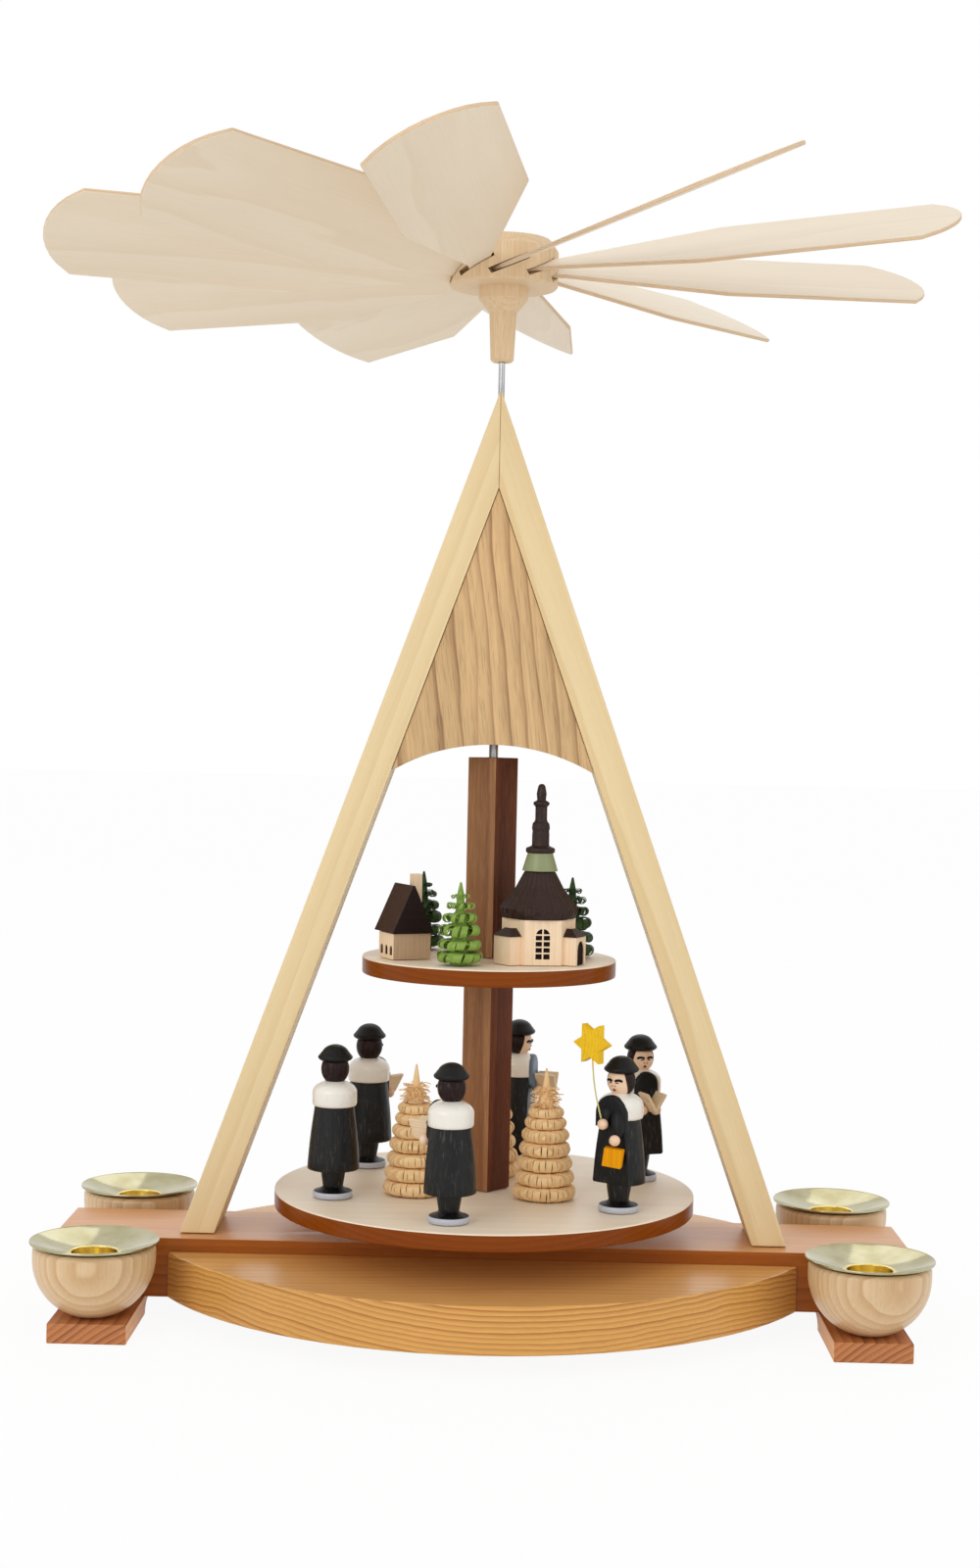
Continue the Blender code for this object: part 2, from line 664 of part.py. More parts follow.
def make_candle_places():
    cups = profile_mesh("candle_cup", cup_profile())
    plates = profile_mesh("wax_plate", plate_profile())
    for depth, row in ((-1, "front"), (1, "rear")):
        for side, hand in ((-1, "left"), (1, "right")):
            place = (side * BAR_CENTRE_X, depth * CUP_Y, 0)
            cup = add_piece(f"candle_cup_{row}_{hand}", cups.copy(), CUP_ASH, place)
            turn_on_lathe(cup, 18)
            plate = add_piece(f"wax_plate_{row}_{hand}", plates.copy(), BRASS, place)
            turn_on_lathe(plate, 18)


def make_spindle():
    base = BEARING_BASE + BEARING_HEIGHT - BEARING_SEAT_DEPTH + SEAT_GAP
    step = SPINDLE_TOP - SPINDLE_TOP_LENGTH
    profile = [
        (0, SPINDLE_TOP), (SPINDLE_TOP_RADIUS, SPINDLE_TOP), (SPINDLE_TOP_RADIUS, step),
        (SPINDLE_RADIUS, step), (SPINDLE_RADIUS, base + NEEDLE_LENGTH), (NEEDLE_TIP_RADIUS, base), (0, base),
    ]
    turned_piece("spindle", profile, 12, STEEL)


def make_disc(name, radius, base, sides):
    top = base + DISC_THICKNESS
    profile = [(BORE_RADIUS, top), (radius, top), (radius, base), (BORE_RADIUS, base)]
    turned_piece(name, profile, sides, DISC_PLY, closed=True)


def make_post(name, base, length):
    post = add_piece(name, box_mesh(name, POST_SIDE, POST_SIDE, length, base), WALNUT, turn=POST_TURN)
    bore = rod_mesh(name + "_bore", BORE_RADIUS, base - CUT_OVERRUN, base + length + CUT_OVERRUN, 16)
    combine(post, add_tool(name + "_bore", bore), "DIFFERENCE")


def blade_frame(index):
    """The blade's own axes: X out along the blade, Y across it, Z through its thickness."""
    sideways, upwards, tilted = BLADE_SETTING[index % len(BLADE_SETTING)]
    azimuth = math.radians(FIRST_BLADE_DEGREES + 360 * index / BLADE_COUNT + sideways)
    rise = math.radians(BLADE_RISE_DEGREES + upwards)
    pitch = math.radians(BLADE_PITCH_DEGREES + tilted)
    turn = Matrix.Rotation(azimuth, 4, "Z") @ Matrix.Rotation(-rise, 4, "Y")
    return Matrix.Translation((0, 0, BLADE_PLANE)) @ turn @ Matrix.Rotation(pitch, 4, "X")


def blade_outline():
    """Stem, straight flare, nearly parallel sides, two rounded corners and a shallow round end."""
    stem = [(BLADE_START, BLADE_STEM_HALF_WIDTH), (BLADE_STEM_REACH, BLADE_STEM_HALF_WIDTH)]
    near_corner = (BLADE_CORNER_REACH - BLADE_CORNER_ROUNDING, BLADE_CORNER_HALF_WIDTH)
    corner = BLADE_CORNER_HALF_WIDTH - BLADE_CORNER_ROUNDING
    radius = sagitta_radius(corner, BLADE_TIP_REACH - BLADE_CORNER_REACH)
    half_angle = math.degrees(math.asin(corner / radius))
    tip = arc((BLADE_TIP_REACH - radius, 0), (radius, radius), half_angle, -half_angle, 10)
    bend = BLADE_OFFSET - BLADE_BEND_OFFSET
    near = stem + [(BLADE_BEND_REACH, bend + BLADE_BEND_HALF_WIDTH), near_corner]
    far = [(near_corner[0], -near_corner[1]), (BLADE_BEND_REACH, bend - BLADE_BEND_HALF_WIDTH)]
    far += [(reach, -half_width) for reach, half_width in reversed(stem)]
    return [(reach, across - BLADE_OFFSET) for reach, across in near + tip + far]


def make_blades(hub):
    """Each blade, and the slot that is cut for its stem, in the same frame of its own."""
    outline = blade_outline()
    low = BLADE_STEM_HALF_WIDTH + SLOT_PAST_LOW_EDGE
    high = BLADE_STEM_HALF_WIDTH + SLOT_PAST_HIGH_EDGE
    slot_outline = [
        (BLADE_START - SEAT_GAP, -BLADE_OFFSET - low), (HUB_RADIUS + CUT_OVERRUN, -BLADE_OFFSET - low),
        (HUB_RADIUS + CUT_OVERRUN, -BLADE_OFFSET + high), (BLADE_START - SEAT_GAP, -BLADE_OFFSET + high),
    ]
    for index in range(BLADE_COUNT):
        frame = blade_frame(index)
        name = f"blade_{index + 1:02d}"
        blade = add_piece(name, flat_mesh(name, outline, BLADE_THICKNESS), BLADE_BIRCH)
        blade.matrix_world = frame
        slot = add_tool(name + "_slot", flat_mesh(name + "_slot", slot_outline, BLADE_THICKNESS + 2 * SEAT_GAP))
        slot.matrix_world = frame
        combine(hub, slot, "DIFFERENCE")


def make_hub():
    neck_top = HUB_BASE + HUB_NECK_LENGTH
    rim_top = HUB_RIM_BASE + HUB_RIM_HEIGHT
    chamfer = HUB_RIM_CHAMFER
    profile = [
        (0, HUB_TOP), (HUB_TOP_RADIUS, HUB_TOP), (HUB_RADIUS, rim_top),
        (HUB_RADIUS, HUB_RIM_BASE + chamfer), (HUB_RADIUS - chamfer, HUB_RIM_BASE),
        (HUB_COLLAR_RADIUS, HUB_RIM_BASE), (HUB_COLLAR_RADIUS, HUB_COLLAR_BASE),
        (HUB_NECK_TOP_RADIUS, neck_top), (HUB_NECK_RADIUS, HUB_BASE + HUB_NECK_ROUNDING),
        (HUB_NECK_RADIUS - HUB_NECK_ROUNDING, HUB_BASE),
        (TOP_BORE_RADIUS, HUB_BASE), (TOP_BORE_RADIUS, HUB_TOP - HUB_BORE_ROOF), (0, HUB_TOP - HUB_BORE_ROOF),
    ]
    hub = turned_piece("impeller_hub", profile, 32, HUB_ASH)
    make_blades(hub)


def tree_profile(height, radius, tiers, crown_share, valley_share):
    """Rings that widen and deepen downwards under a bare pointed tip."""
    tip = TREE_TIP_SHARE * height
    rings = height - tip
    point = (TREE_POINT_SHARE * radius, height - tip / 8)
    profile = [(0, height), point, (crown_share * radius / 2, rings)]
    levels = []
    for tier in range(tiers + 1):
        share = tier / tiers
        levels.append(rings * (1 - share) * (1 + TREE_DEEPENING_SHARE * share))
    for tier in range(tiers):
        share = tier / (tiers - 1)
        reach = radius * (crown_share + (1 - crown_share) * share ** 0.75)
        step = levels[tier] - levels[tier + 1]
        profile.append((reach * TREE_LIP_SHARE, levels[tier] - step / 4))
        profile.append((reach, levels[tier] - 2 * step / 3))
        if tier < tiers - 1:
            profile.append((reach * valley_share, levels[tier + 1]))
    return profile + [(radius * TREE_FOOT_SHARE, 0), (0, 0)]


def split_columns(piece, columns, notch_share):
    """Draws every other column of points in towards the axis, as a chisel or gouge leaves them."""
    settle(piece)
    for vertex in piece.data.vertices:
        column = round(math.atan2(vertex.co.y, vertex.co.x) / math.tau * columns)
        if column % 2:
            vertex.co.x *= notch_share
            vertex.co.y *= notch_share


def make_trees():
    size = (NATURAL_TREE_HEIGHT, NATURAL_TREE_RADIUS, NATURAL_TREE_TIERS)
    natural = tree_profile(*size, NATURAL_CROWN_SHARE, NATURAL_VALLEY_SHARE)
    names = ("natural_tree_left", "natural_tree_right", "natural_tree_rear")
    for name, (across, back) in zip(names, NATURAL_TREE_PLACE_SHARES):
        place = (across * LOWER_DISC_RADIUS, back * LOWER_DISC_RADIUS, LOWER_FLOOR)
        tree = turned_piece(name, natural, 2 * NATURAL_TREE_CHIPS, TREE_LIME, place)
        split_columns(tree, 2 * NATURAL_TREE_CHIPS, NATURAL_NOTCH_SHARE)
    size = (GREEN_TREE_HEIGHT, GREEN_TREE_RADIUS, GREEN_TREE_TIERS)
    green = tree_profile(*size, GREEN_CROWN_SHARE, GREEN_VALLEY_SHARE)
    names = ("green_tree_front", "green_tree_rear_left", "green_tree_rear_right")
    for name, (across, back) in zip(names, GREEN_TREE_PLACE_SHARES):
        place = (across * UPPER_DISC_RADIUS, back * UPPER_DISC_RADIUS, UPPER_FLOOR)
        tree = turned_piece(name, green, 2 * GREEN_TREE_CHIPS, TREE_GREEN, place)
        split_columns(tree, 2 * GREEN_TREE_CHIPS, GREEN_NOTCH_SHARE)


def figure_profile():
    """From the hat's crown down to the round base that the figure stands on."""
    crown_base = FIGURE_BRIM_HEIGHT + FIGURE_COAT_ROUNDING
    profile = arc((0, crown_base), (FIGURE_CROWN_RADIUS, FIGURE_CROWN_RISE), 90, 20, 2)
    profile += [
        (FIGURE_BRIM_RADIUS, FIGURE_BRIM_HEIGHT), (FIGURE_HEAD_RADIUS, FIGURE_BRIM_HEIGHT - FIGURE_COAT_ROUNDING),
        (FIGURE_HEAD_RADIUS, FIGURE_HEAD_HEIGHT), (FIGURE_NECK_RADIUS, FIGURE_NECK_HEIGHT),
    ]
    shoulder = (FIGURE_CAPE_RADIUS, FIGURE_NECK_HEIGHT - FIGURE_SHOULDER_HEIGHT)
    profile += arc((0, FIGURE_SHOULDER_HEIGHT), shoulder, 50, 0, 2)
    hem = FIGURE_HEM_HEIGHT + FIGURE_COAT_ROUNDING
    return profile + [
        (FIGURE_CAPE_RADIUS, FIGURE_CAPE_HEM_HEIGHT), (FIGURE_CHEST_RADIUS, FIGURE_CAPE_HEM_HEIGHT),
        (FIGURE_COAT_RADIUS, hem), (FIGURE_COAT_RADIUS - FIGURE_COAT_ROUNDING, FIGURE_HEM_HEIGHT),
        (FIGURE_LEG_RADIUS, FIGURE_HEM_HEIGHT), (FIGURE_ANKLE_RADIUS, FIGURE_ANKLE_HEIGHT),
        (FIGURE_SHOE_RADIUS, FIGURE_BASE_HEIGHT), (FIGURE_BASE_RADIUS, FIGURE_BASE_HEIGHT),
        (FIGURE_BASE_RADIUS, 0), (0, 0),
    ]


def add_yoke(body):
    """The flat front, and on it the arched slab that both arms grow from."""
    deep = FIGURE_COAT_RADIUS - FRONT_FLAT_FORWARD + CUT_OVERRUN
    tall = FIGURE_NECK_HEIGHT - FIGURE_HEM_HEIGHT + JOIN_OVERLAP
    flat = box_mesh(body.name + "_flat", deep, 2 * (FIGURE_COAT_RADIUS + CUT_OVERRUN), tall)
    corner = (FRONT_FLAT_FORWARD + deep / 2, 0, FIGURE_HEM_HEIGHT - JOIN_OVERLAP)
    combine(body, add_tool(body.name + "_flat", flat, body, corner), "DIFFERENCE")
    thick = YOKE_FORWARD - FRONT_FLAT_FORWARD + JOIN_OVERLAP
    outline = arched_outline(YOKE_WIDTH, YOKE_LENGTH, 6)
    yoke = flat_mesh(body.name + "_yoke", outline, thick, FACING_ALONG)
    where = (YOKE_FORWARD - thick / 2, 0, YOKE_TOP_HEIGHT - YOKE_LENGTH)
    combine(body, add_tool(body.name + "_yoke", yoke, body, where), "UNION")


def add_arm(body, side, hand):
    """A drop-shaped sleeve from the shoulder to the cuff, and a ball for the hand."""
    shoulder = Vector((SHOULDER_FORWARD, side * SHOULDER_SIDE, SLEEVE_TOP_HEIGHT))
    hand = Vector(hand)
    cuff = hand + Vector((-CUFF_BEHIND_HAND, 0, CUFF_ABOVE_HAND))
    along = cuff - shoulder
    name = f"{body.name}_{'right' if side < 0 else 'left'}"
    sleeve_mesh = ball_mesh(name + "_sleeve", 1, 8, 5)
    for vertex in sleeve_mesh.vertices:
        vertex.co.xy *= 1 - SLEEVE_TAPER_SHARE * vertex.co.z
    length = along.length / 2 + SLEEVE_ROUND_END
    sleeve_mesh.transform(Matrix.Diagonal((SLEEVE_RADIUS, SLEEVE_RADIUS, length, 1)))
    sleeve_mesh.transform(along.to_track_quat("Z", "Y").to_matrix().to_4x4())
    middle = shoulder + along / 2
    combine(body, add_tool(name + "_sleeve", sleeve_mesh, body, middle), "UNION")
    hand_mesh = ball_mesh(name + "_hand", HAND_RADIUS, 7, 5)
    combine(body, add_tool(name + "_hand", hand_mesh, body, hand), "UNION")


def figure_place(degrees, share):
    return (*around(degrees, share * CAROLER_RING_RADIUS), LOWER_FLOOR)


def book_outline():
    """An open book seen end on: two leaves that rise from the spine like a V."""
    out = (math.sin(LEAF_LEAN), math.cos(LEAF_LEAN))
    tip = (LEAF_WIDTH * out[0], LEAF_WIDTH * out[1])
    inner = (tip[0] - LEAF_THICKNESS * out[1], tip[1] + LEAF_THICKNESS * out[0])
    right = [(0, 0), tip, inner]
    left = [(-x, y) for x, y in reversed(right[1:])]
    return right + [(0, LEAF_THICKNESS / out[0])] + left


def add_book(body, name, place, turn):
    """The songbook, and the room that the hands leave for it."""
    mesh = flat_mesh(name, book_outline(), BOOK_LENGTH, FACING_ALONG)
    middle = BOOK_START + BOOK_LENGTH / 2
    mesh.transform(Matrix.Translation((middle, 0, BOOK_SPINE_HEIGHT)))
    add_piece(name, mesh, BOOK_MAPLE, place, turn)
    lowest = -SEAT_GAP / math.sin(LEAF_LEAN)
    top = LEAF_WIDTH * math.cos(LEAF_LEAN) + LEAF_THICKNESS + SEAT_GAP
    half = (top - lowest) * math.tan(LEAF_LEAN)
    length = BOOK_LENGTH + SEAT_GAP + CUT_OVERRUN
    room = flat_mesh(name + "_room", [(0, lowest), (half, top), (-half, top)], length, FACING_ALONG)
    where = (BOOK_START - SEAT_GAP + length / 2, 0, BOOK_SPINE_HEIGHT)
    combine(body, add_tool(name + "_room", room, body, where), "DIFFERENCE")


def make_carolers():
    profile = figure_profile()
    for name, degrees, share, heading in CAROLER_PLACE_SHARES:
        place = figure_place(degrees, share)
        turn = math.radians(heading)
        body = turned_piece("caroler_" + name, profile, FIGURE_SIDES, COAT_BLACK, place, turn)
        add_yoke(body)
        for side in (-1, 1):
            add_arm(body, side, (HAND_FORWARD, side * HAND_SIDE, HAND_HEIGHT))
        add_book(body, "songbook_" + name, place, turn)


def star_outline():
    """Six points, alternating with six notches that lie where two crossed triangles meet."""
    notch = STAR_RADIUS / math.sqrt(3)
    return [around(30 * point, STAR_RADIUS if point % 2 == 0 else notch) for point in range(12)]


def make_star_bearer():
    name, degrees, share, heading = BEARER_PLACE_SHARE
    place = figure_place(degrees, share)
    turn = math.radians(heading)
    body = turned_piece(name, figure_profile(), FIGURE_SIDES, COAT_BLACK, place, turn)
    star_hand = Vector((STAR_HAND_FORWARD, -STAR_HAND_SIDE, STAR_HAND_HEIGHT))
    lantern_hand = Vector((LANTERN_HAND_FORWARD, LANTERN_HAND_SIDE, LANTERN_HAND_HEIGHT))
    add_yoke(body)
    add_arm(body, -1, star_hand)
    add_arm(body, 1, lantern_hand)
    stance = Matrix.Translation(place) @ Matrix.Rotation(turn, 4, "Z")
    make_star(stance @ (star_hand + Vector((STAR_WIRE_FORWARD, 0, HAND_RADIUS + SEAT_GAP))))
    make_lantern(stance @ lantern_hand)


def make_star(foot):
    """A sawn star on a thin wire, which bows a little on its way up from the hand."""
    centre = Vector((foot.x - STAR_LEAN, foot.y, LOWER_FLOOR + STAR_HEIGHT))
    mesh = flat_mesh("star_on_wire", star_outline(), STAR_THICKNESS, FACING_FRONT)
    star = add_piece("star_on_wire", mesh, STAR_YELLOW, centre, STAR_TURN)
    end = centre - Vector((0, 0, STAR_RADIUS / 2))
    points = []
    for step in range(6):
        share = step / 5
        bow = STAR_BOW * math.sin(share * math.pi)
        points.append(foot.lerp(end, share) - Vector((bow, 0, 0)))
    combine(star, add_tool("star_wire", wire_mesh("star_wire", points, STAR_WIRE_RADIUS)), "UNION")


def make_lantern(hand):
    """A block that hangs under the left hand and swings a little out of plumb."""
    mesh = box_mesh("lantern", LANTERN_WIDTH, LANTERN_DEPTH, LANTERN_HEIGHT, -LANTERN_HEIGHT)
    lean = LANTERN_WIDTH / 2 * math.sin(LANTERN_SWING)
    where = hand - Vector((0, 0, HAND_RADIUS + SEAT_GAP + lean))
    lantern = add_piece("lantern", mesh, LANTERN_ORANGE, where, LANTERN_TURN)
    lantern.rotation_euler.y = LANTERN_SWING


def add_recess(host, name, outline, where, turn):
    """A shallow recess in an upright wall; the turn is the way that the wall faces."""
    mesh = flat_mesh(name, outline, 2 * RECESS_DEPTH, FACING_FRONT)
    tool = add_tool(name, mesh, host, where, turn)
    combine(host, tool, "DIFFERENCE")
    return tool


def house_roof_outline(width, roof_height):
    eave = width / 2 + HOUSE_EAVE
    ridge = HOUSE_RIDGE_WIDTH / 2
    return [(-eave, 0), (eave, 0), (ridge, roof_height), (-ridge, roof_height)]


def make_near_house():
    place = (HOUSE_PLACE_SHARE[0] * UPPER_DISC_RADIUS, HOUSE_PLACE_SHARE[1] * UPPER_DISC_RADIUS, UPPER_FLOOR)
    mesh = box_mesh("near_house_walls", HOUSE_WIDTH, HOUSE_LENGTH, HOUSE_WALL_HEIGHT)
    walls = add_piece("near_house_walls", mesh, WALL_MAPLE, place, HOUSE_TURN)
    window = arched_outline(HOUSE_WINDOW_WIDTH, HOUSE_WINDOW_HEIGHT, 4)
    for index in range(HOUSE_WINDOW_COUNT):
        along = (index - (HOUSE_WINDOW_COUNT - 1) / 2) * HOUSE_WINDOW_PITCH
        where = (-HOUSE_WIDTH / 2, along, HOUSE_WINDOW_SILL)
        add_recess(walls, f"house_window_{index + 1}", window, where, -math.pi / 2)
    length = HOUSE_LENGTH + HOUSE_FRONT_OVERHANG + HOUSE_BACK_OVERHANG
    outline = house_roof_outline(HOUSE_WIDTH, HOUSE_ROOF_HEIGHT)
    roof_mesh = flat_mesh("near_house_roof", outline, length, FACING_FRONT)
    roof_mesh.transform(Matrix.Translation((0, (HOUSE_BACK_OVERHANG - HOUSE_FRONT_OVERHANG) / 2, 0)))
    base = Vector(place) + Vector((0, 0, HOUSE_WALL_HEIGHT + SEAT_GAP))
    roof = add_piece("near_house_roof", roof_mesh, ROOF_BROWN, base, HOUSE_TURN)
    height = HOUSE_ROOF_HEIGHT + CHIMNEY_RISE - JOIN_OVERLAP
    chimney = box_mesh("chimney", CHIMNEY_SIDE, CHIMNEY_SIDE, height, JOIN_OVERLAP)
    combine(roof, add_tool("chimney", chimney, roof, (CHIMNEY_ACROSS, CHIMNEY_BACK, 0)), "UNION")


def make_far_house():
    place = (
        FAR_HOUSE_PLACE_SHARE[0] * UPPER_DISC_RADIUS, FAR_HOUSE_PLACE_SHARE[1] * UPPER_DISC_RADIUS, UPPER_FLOOR,
    )
    half = FAR_HOUSE_WIDTH / 2
    roof = house_roof_outline(FAR_HOUSE_WIDTH, FAR_HOUSE_ROOF_HEIGHT)
    outline = [(-half, 0), (half, 0), (half, FAR_HOUSE_WALL_HEIGHT)]
    outline += [(x, FAR_HOUSE_WALL_HEIGHT + y) for x, y in roof[1:]]
    outline += [(roof[0][0], FAR_HOUSE_WALL_HEIGHT), (-half, FAR_HOUSE_WALL_HEIGHT)]
    mesh = flat_mesh("far_house", outline, FAR_HOUSE_LENGTH, FACING_FRONT)
    add_piece("far_house", mesh, WALL_MAPLE, place, FAR_HOUSE_TURN)


def six_sided_mesh(name, radius, height):
    shape = bmesh.new()
    stand = Matrix.Translation((0, 0, height / 2)) @ Matrix.Rotation(math.radians(30), 4, "Z")
    bmesh.ops.create_cone(
        shape, cap_ends=True, segments=6, radius1=radius, radius2=radius, depth=height, matrix=stand
    )
    return mesh_from(shape, name)


def hip_roof_mesh(name, width, depth, ridge, rise, base):
    """A low roof that slopes on all sides up to a small flat top."""
    shape = bmesh.new()
    bmesh.ops.create_cube(shape, size=1)
    for vertex in shape.verts:
        spread = (ridge, ridge) if vertex.co.z > 0 else (width, depth)
        vertex.co.x *= spread[0]
        vertex.co.y *= spread[1]
        vertex.co.z = base + (rise if vertex.co.z > 0 else 0)
    return mesh_from(shape, name)


def add_porch(walls, name, turn):
    """A porch against one side of the nave, with its own hipped roof running into the wall."""
    reach = NAVE_RADIUS * math.cos(math.radians(30))
    outward = Matrix.Rotation(turn, 4, "Z")
    depth = PORCH_DEPTH + JOIN_OVERLAP
    box = box_mesh(name, PORCH_WIDTH, depth, PORCH_HEIGHT)
    centre = outward @ Vector((0, -reach - PORCH_DEPTH + depth / 2, 0))
    combine(walls, add_tool(name, box, walls, centre, turn), "UNION")
    eave = PORCH_WIDTH + 2 * PORCH_ROOF_EAVE
    spread = 2 * (PORCH_DEPTH + PORCH_ROOF_EAVE)
    roof = hip_roof_mesh(name + "_roof", eave, spread, PORCH_RIDGE_WIDTH, PORCH_ROOF_RISE, PORCH_HEIGHT)
    wall = outward @ Vector((0, -reach, 0))
    combine(walls, add_tool(name + "_roof", roof, walls, wall, turn), "UNION")
    return reach


def add_church_window(walls, reach):
    """An arched window in panes: the recess is cut except where the glazing bars stand."""
    outline = arched_outline(CHURCH_WINDOW_WIDTH, CHURCH_WINDOW_HEIGHT, 8)
    where = Vector((0, -reach, CHURCH_WINDOW_SILL))
    window = add_recess(walls, "church_window", outline, where, 0)
    thick = 2 * RECESS_DEPTH + CUT_OVERRUN
    mullion = box_mesh("mullion", GLAZING_BAR, thick, CHURCH_WINDOW_HEIGHT + CUT_OVERRUN, -CUT_OVERRUN / 2)
    combine(window, add_tool("mullion", mullion, walls, where), "DIFFERENCE")
    pitch = CHURCH_WINDOW_HEIGHT / CHURCH_WINDOW_ROWS
    for row in range(1, CHURCH_WINDOW_ROWS):
        bar = box_mesh(f"glazing_bar_{row}", CHURCH_WINDOW_WIDTH + CUT_OVERRUN, thick, GLAZING_BAR)
        level = where + Vector((0, 0, row * pitch - GLAZING_BAR / 2))
        combine(window, add_tool(f"glazing_bar_{row}", bar, walls, level), "DIFFERENCE")


def make_church():
    place = (CHURCH_PLACE_SHARE[0] * UPPER_DISC_RADIUS, CHURCH_PLACE_SHARE[1] * UPPER_DISC_RADIUS, UPPER_FLOOR)
    nave = six_sided_mesh("church_walls", NAVE_RADIUS, NAVE_HEIGHT)
    walls = add_piece("church_walls", nave, WALL_MAPLE, place, CHURCH_TURN)
    reach = add_porch(walls, "left_porch", math.radians(-60))
    add_porch(walls, "right_porch", math.radians(60))
    door = arched_outline(CHURCH_DOOR_WIDTH, CHURCH_DOOR_HEIGHT, 6)
    outward = Matrix.Rotation(math.radians(60), 4, "Z")
    door_foot = outward @ Vector((0, -reach - PORCH_DEPTH, 0))
    add_recess(walls, "church_door", door, door_foot, math.radians(60))
    add_church_window(walls, reach)
    roof_base = NAVE_HEIGHT + SEAT_GAP
    roof_profile = [
        (0, CHURCH_ROOF_HEIGHT), (CHURCH_ROOF_TOP_RADIUS, CHURCH_ROOF_HEIGHT),
        (CHURCH_ROOF_WAIST, CHURCH_ROOF_WAIST_HEIGHT), (CHURCH_ROOF_RADIUS, CHURCH_ROOF_LIP),
        (NAVE_RADIUS, 0), (0, 0),
    ]
    where = Vector(place) + Vector((0, 0, roof_base))
    roof = turned_piece("church_roof", roof_profile, 2 * CHURCH_ROOF_RIBS, ROOF_BROWN, where, CHURCH_TURN)
    split_columns(roof, 2 * CHURCH_ROOF_RIBS, RIB_GROOVE_SHARE)
    shoulder = SPIRE_COLLAR_HEIGHT + SEAT_GAP
    profile = [(0, SPIRE_HEIGHT)]
    profile += [(radius * SPIRE_COLLAR_RADIUS, height * SPIRE_HEIGHT) for radius, height in SPIRE_PROFILE_SHARES]
    profile += [(SPIRE_COLLAR_TOP_RADIUS, shoulder), (SPIRE_COLLAR_RADIUS, 0), (0, 0)]
    foot = where + Vector((0, 0, CHURCH_ROOF_HEIGHT + SEAT_GAP))
    turned_piece("church_spire", profile, 12, SPIRE_WALNUT, foot)


def hand_to_axis():
    """An empty on the joint's axis carries every piece that turns."""
    axis = bpy.data.objects.new("carousel_axis", None)
    PART.objects.link(axis)
    for piece in list(PART.objects):
        if piece is not axis and not piece.name.startswith(STILL_PIECES):
            placed = piece.matrix_world.copy()
            piece.parent = axis
            piece.matrix_world = placed


STILL_PIECES = (
    "left_foot_bar", "right_foot_bar", "base_plank", "front_base_segment", "rear_base_segment",
    "left_frame_leg", "right_frame_leg", "front_gable_panel", "rear_gable_panel",
    "bearing_cup", "apex_guide_bush", "candle_cup", "wax_plate",
)

clear_scene()
PART = new_collection("candle_carousel")
TOOLS = new_collection("cutters_and_joiners")

LARCH = finish("larch", (190, 110, 70), 0.6)
PLANK_PINE = finish("stained_pine_plank", (186, 104, 62), 0.4)
STEP_PINE = finish("amber_pine", (214, 150, 82), 0.45)
LIME_WOOD = finish("pale_lime_wood", (232, 205, 152), 0.55)
ASH = finish("ash_panel", (200, 160, 110), 0.55)
WALNUT = finish("walnut", (110, 72, 50), 0.5)
DISC_PLY = finish("disc_plywood", (205, 185, 155), 0.5)
HUB_ASH = finish("turned_beech", (218, 190, 150), 0.55)
BLADE_BIRCH = finish("blade_birch", (222, 203, 176), 0.6)
CUP_ASH = finish("turned_ash", (225, 190, 140), 0.5)
BRASS = finish("brass", (225, 205, 140), 0.25, 1.0)
STEEL = finish("steel", (170, 170, 172), 0.3, 1.0)
TREE_LIME = finish("lime_wood_curls", (215, 180, 120), 0.7)
TREE_GREEN = finish("green_stained_curls", (80, 130, 55), 0.7)
COAT_BLACK = finish("black_paint", (32, 32, 34), 0.35)
BOOK_MAPLE = finish("pale_maple", (228, 205, 170), 0.6)
STAR_YELLOW = finish("yellow_stain", (235, 190, 40), 0.5)
LANTERN_ORANGE = finish("orange_stain", (240, 160, 20), 0.5)
WALL_MAPLE = finish("maple_walls", (232, 204, 166), 0.6)
ROOF_BROWN = finish("dark_stained_roof", (58, 38, 34), 0.6)
SPIRE_WALNUT = finish("walnut_spire", (66, 46, 38), 0.55)

make_foot_bars()
make_plank()
make_steps()
make_legs()
make_panels()
make_bearing()
make_bush()
make_candle_places()
make_spindle()
make_disc("lower_disc", LOWER_DISC_RADIUS, LOWER_DISC_BASE, 48)
make_disc("upper_disc", UPPER_DISC_RADIUS, UPPER_DISC_BASE, 36)
make_post("lower_post", LOWER_POST_BASE, LOWER_POST_LENGTH)
make_post("upper_post", UPPER_POST_BASE, UPPER_POST_LENGTH)
make_hub()
make_trees()
make_carolers()
make_star_bearer()
make_near_house()
make_far_house()
make_church()
bpy.context.view_layer.update()
for finished in list(PART.objects):
    if finished.modifiers:
        settle(finished)
hand_to_axis()
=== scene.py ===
# Looks for the wooden candle carousel. Metres, +Z up, the front faces -Y, the spindle stands on the origin.
import json
import math
import random

import bmesh
import bpy
import numpy as np
from mathutils import Matrix, Vector


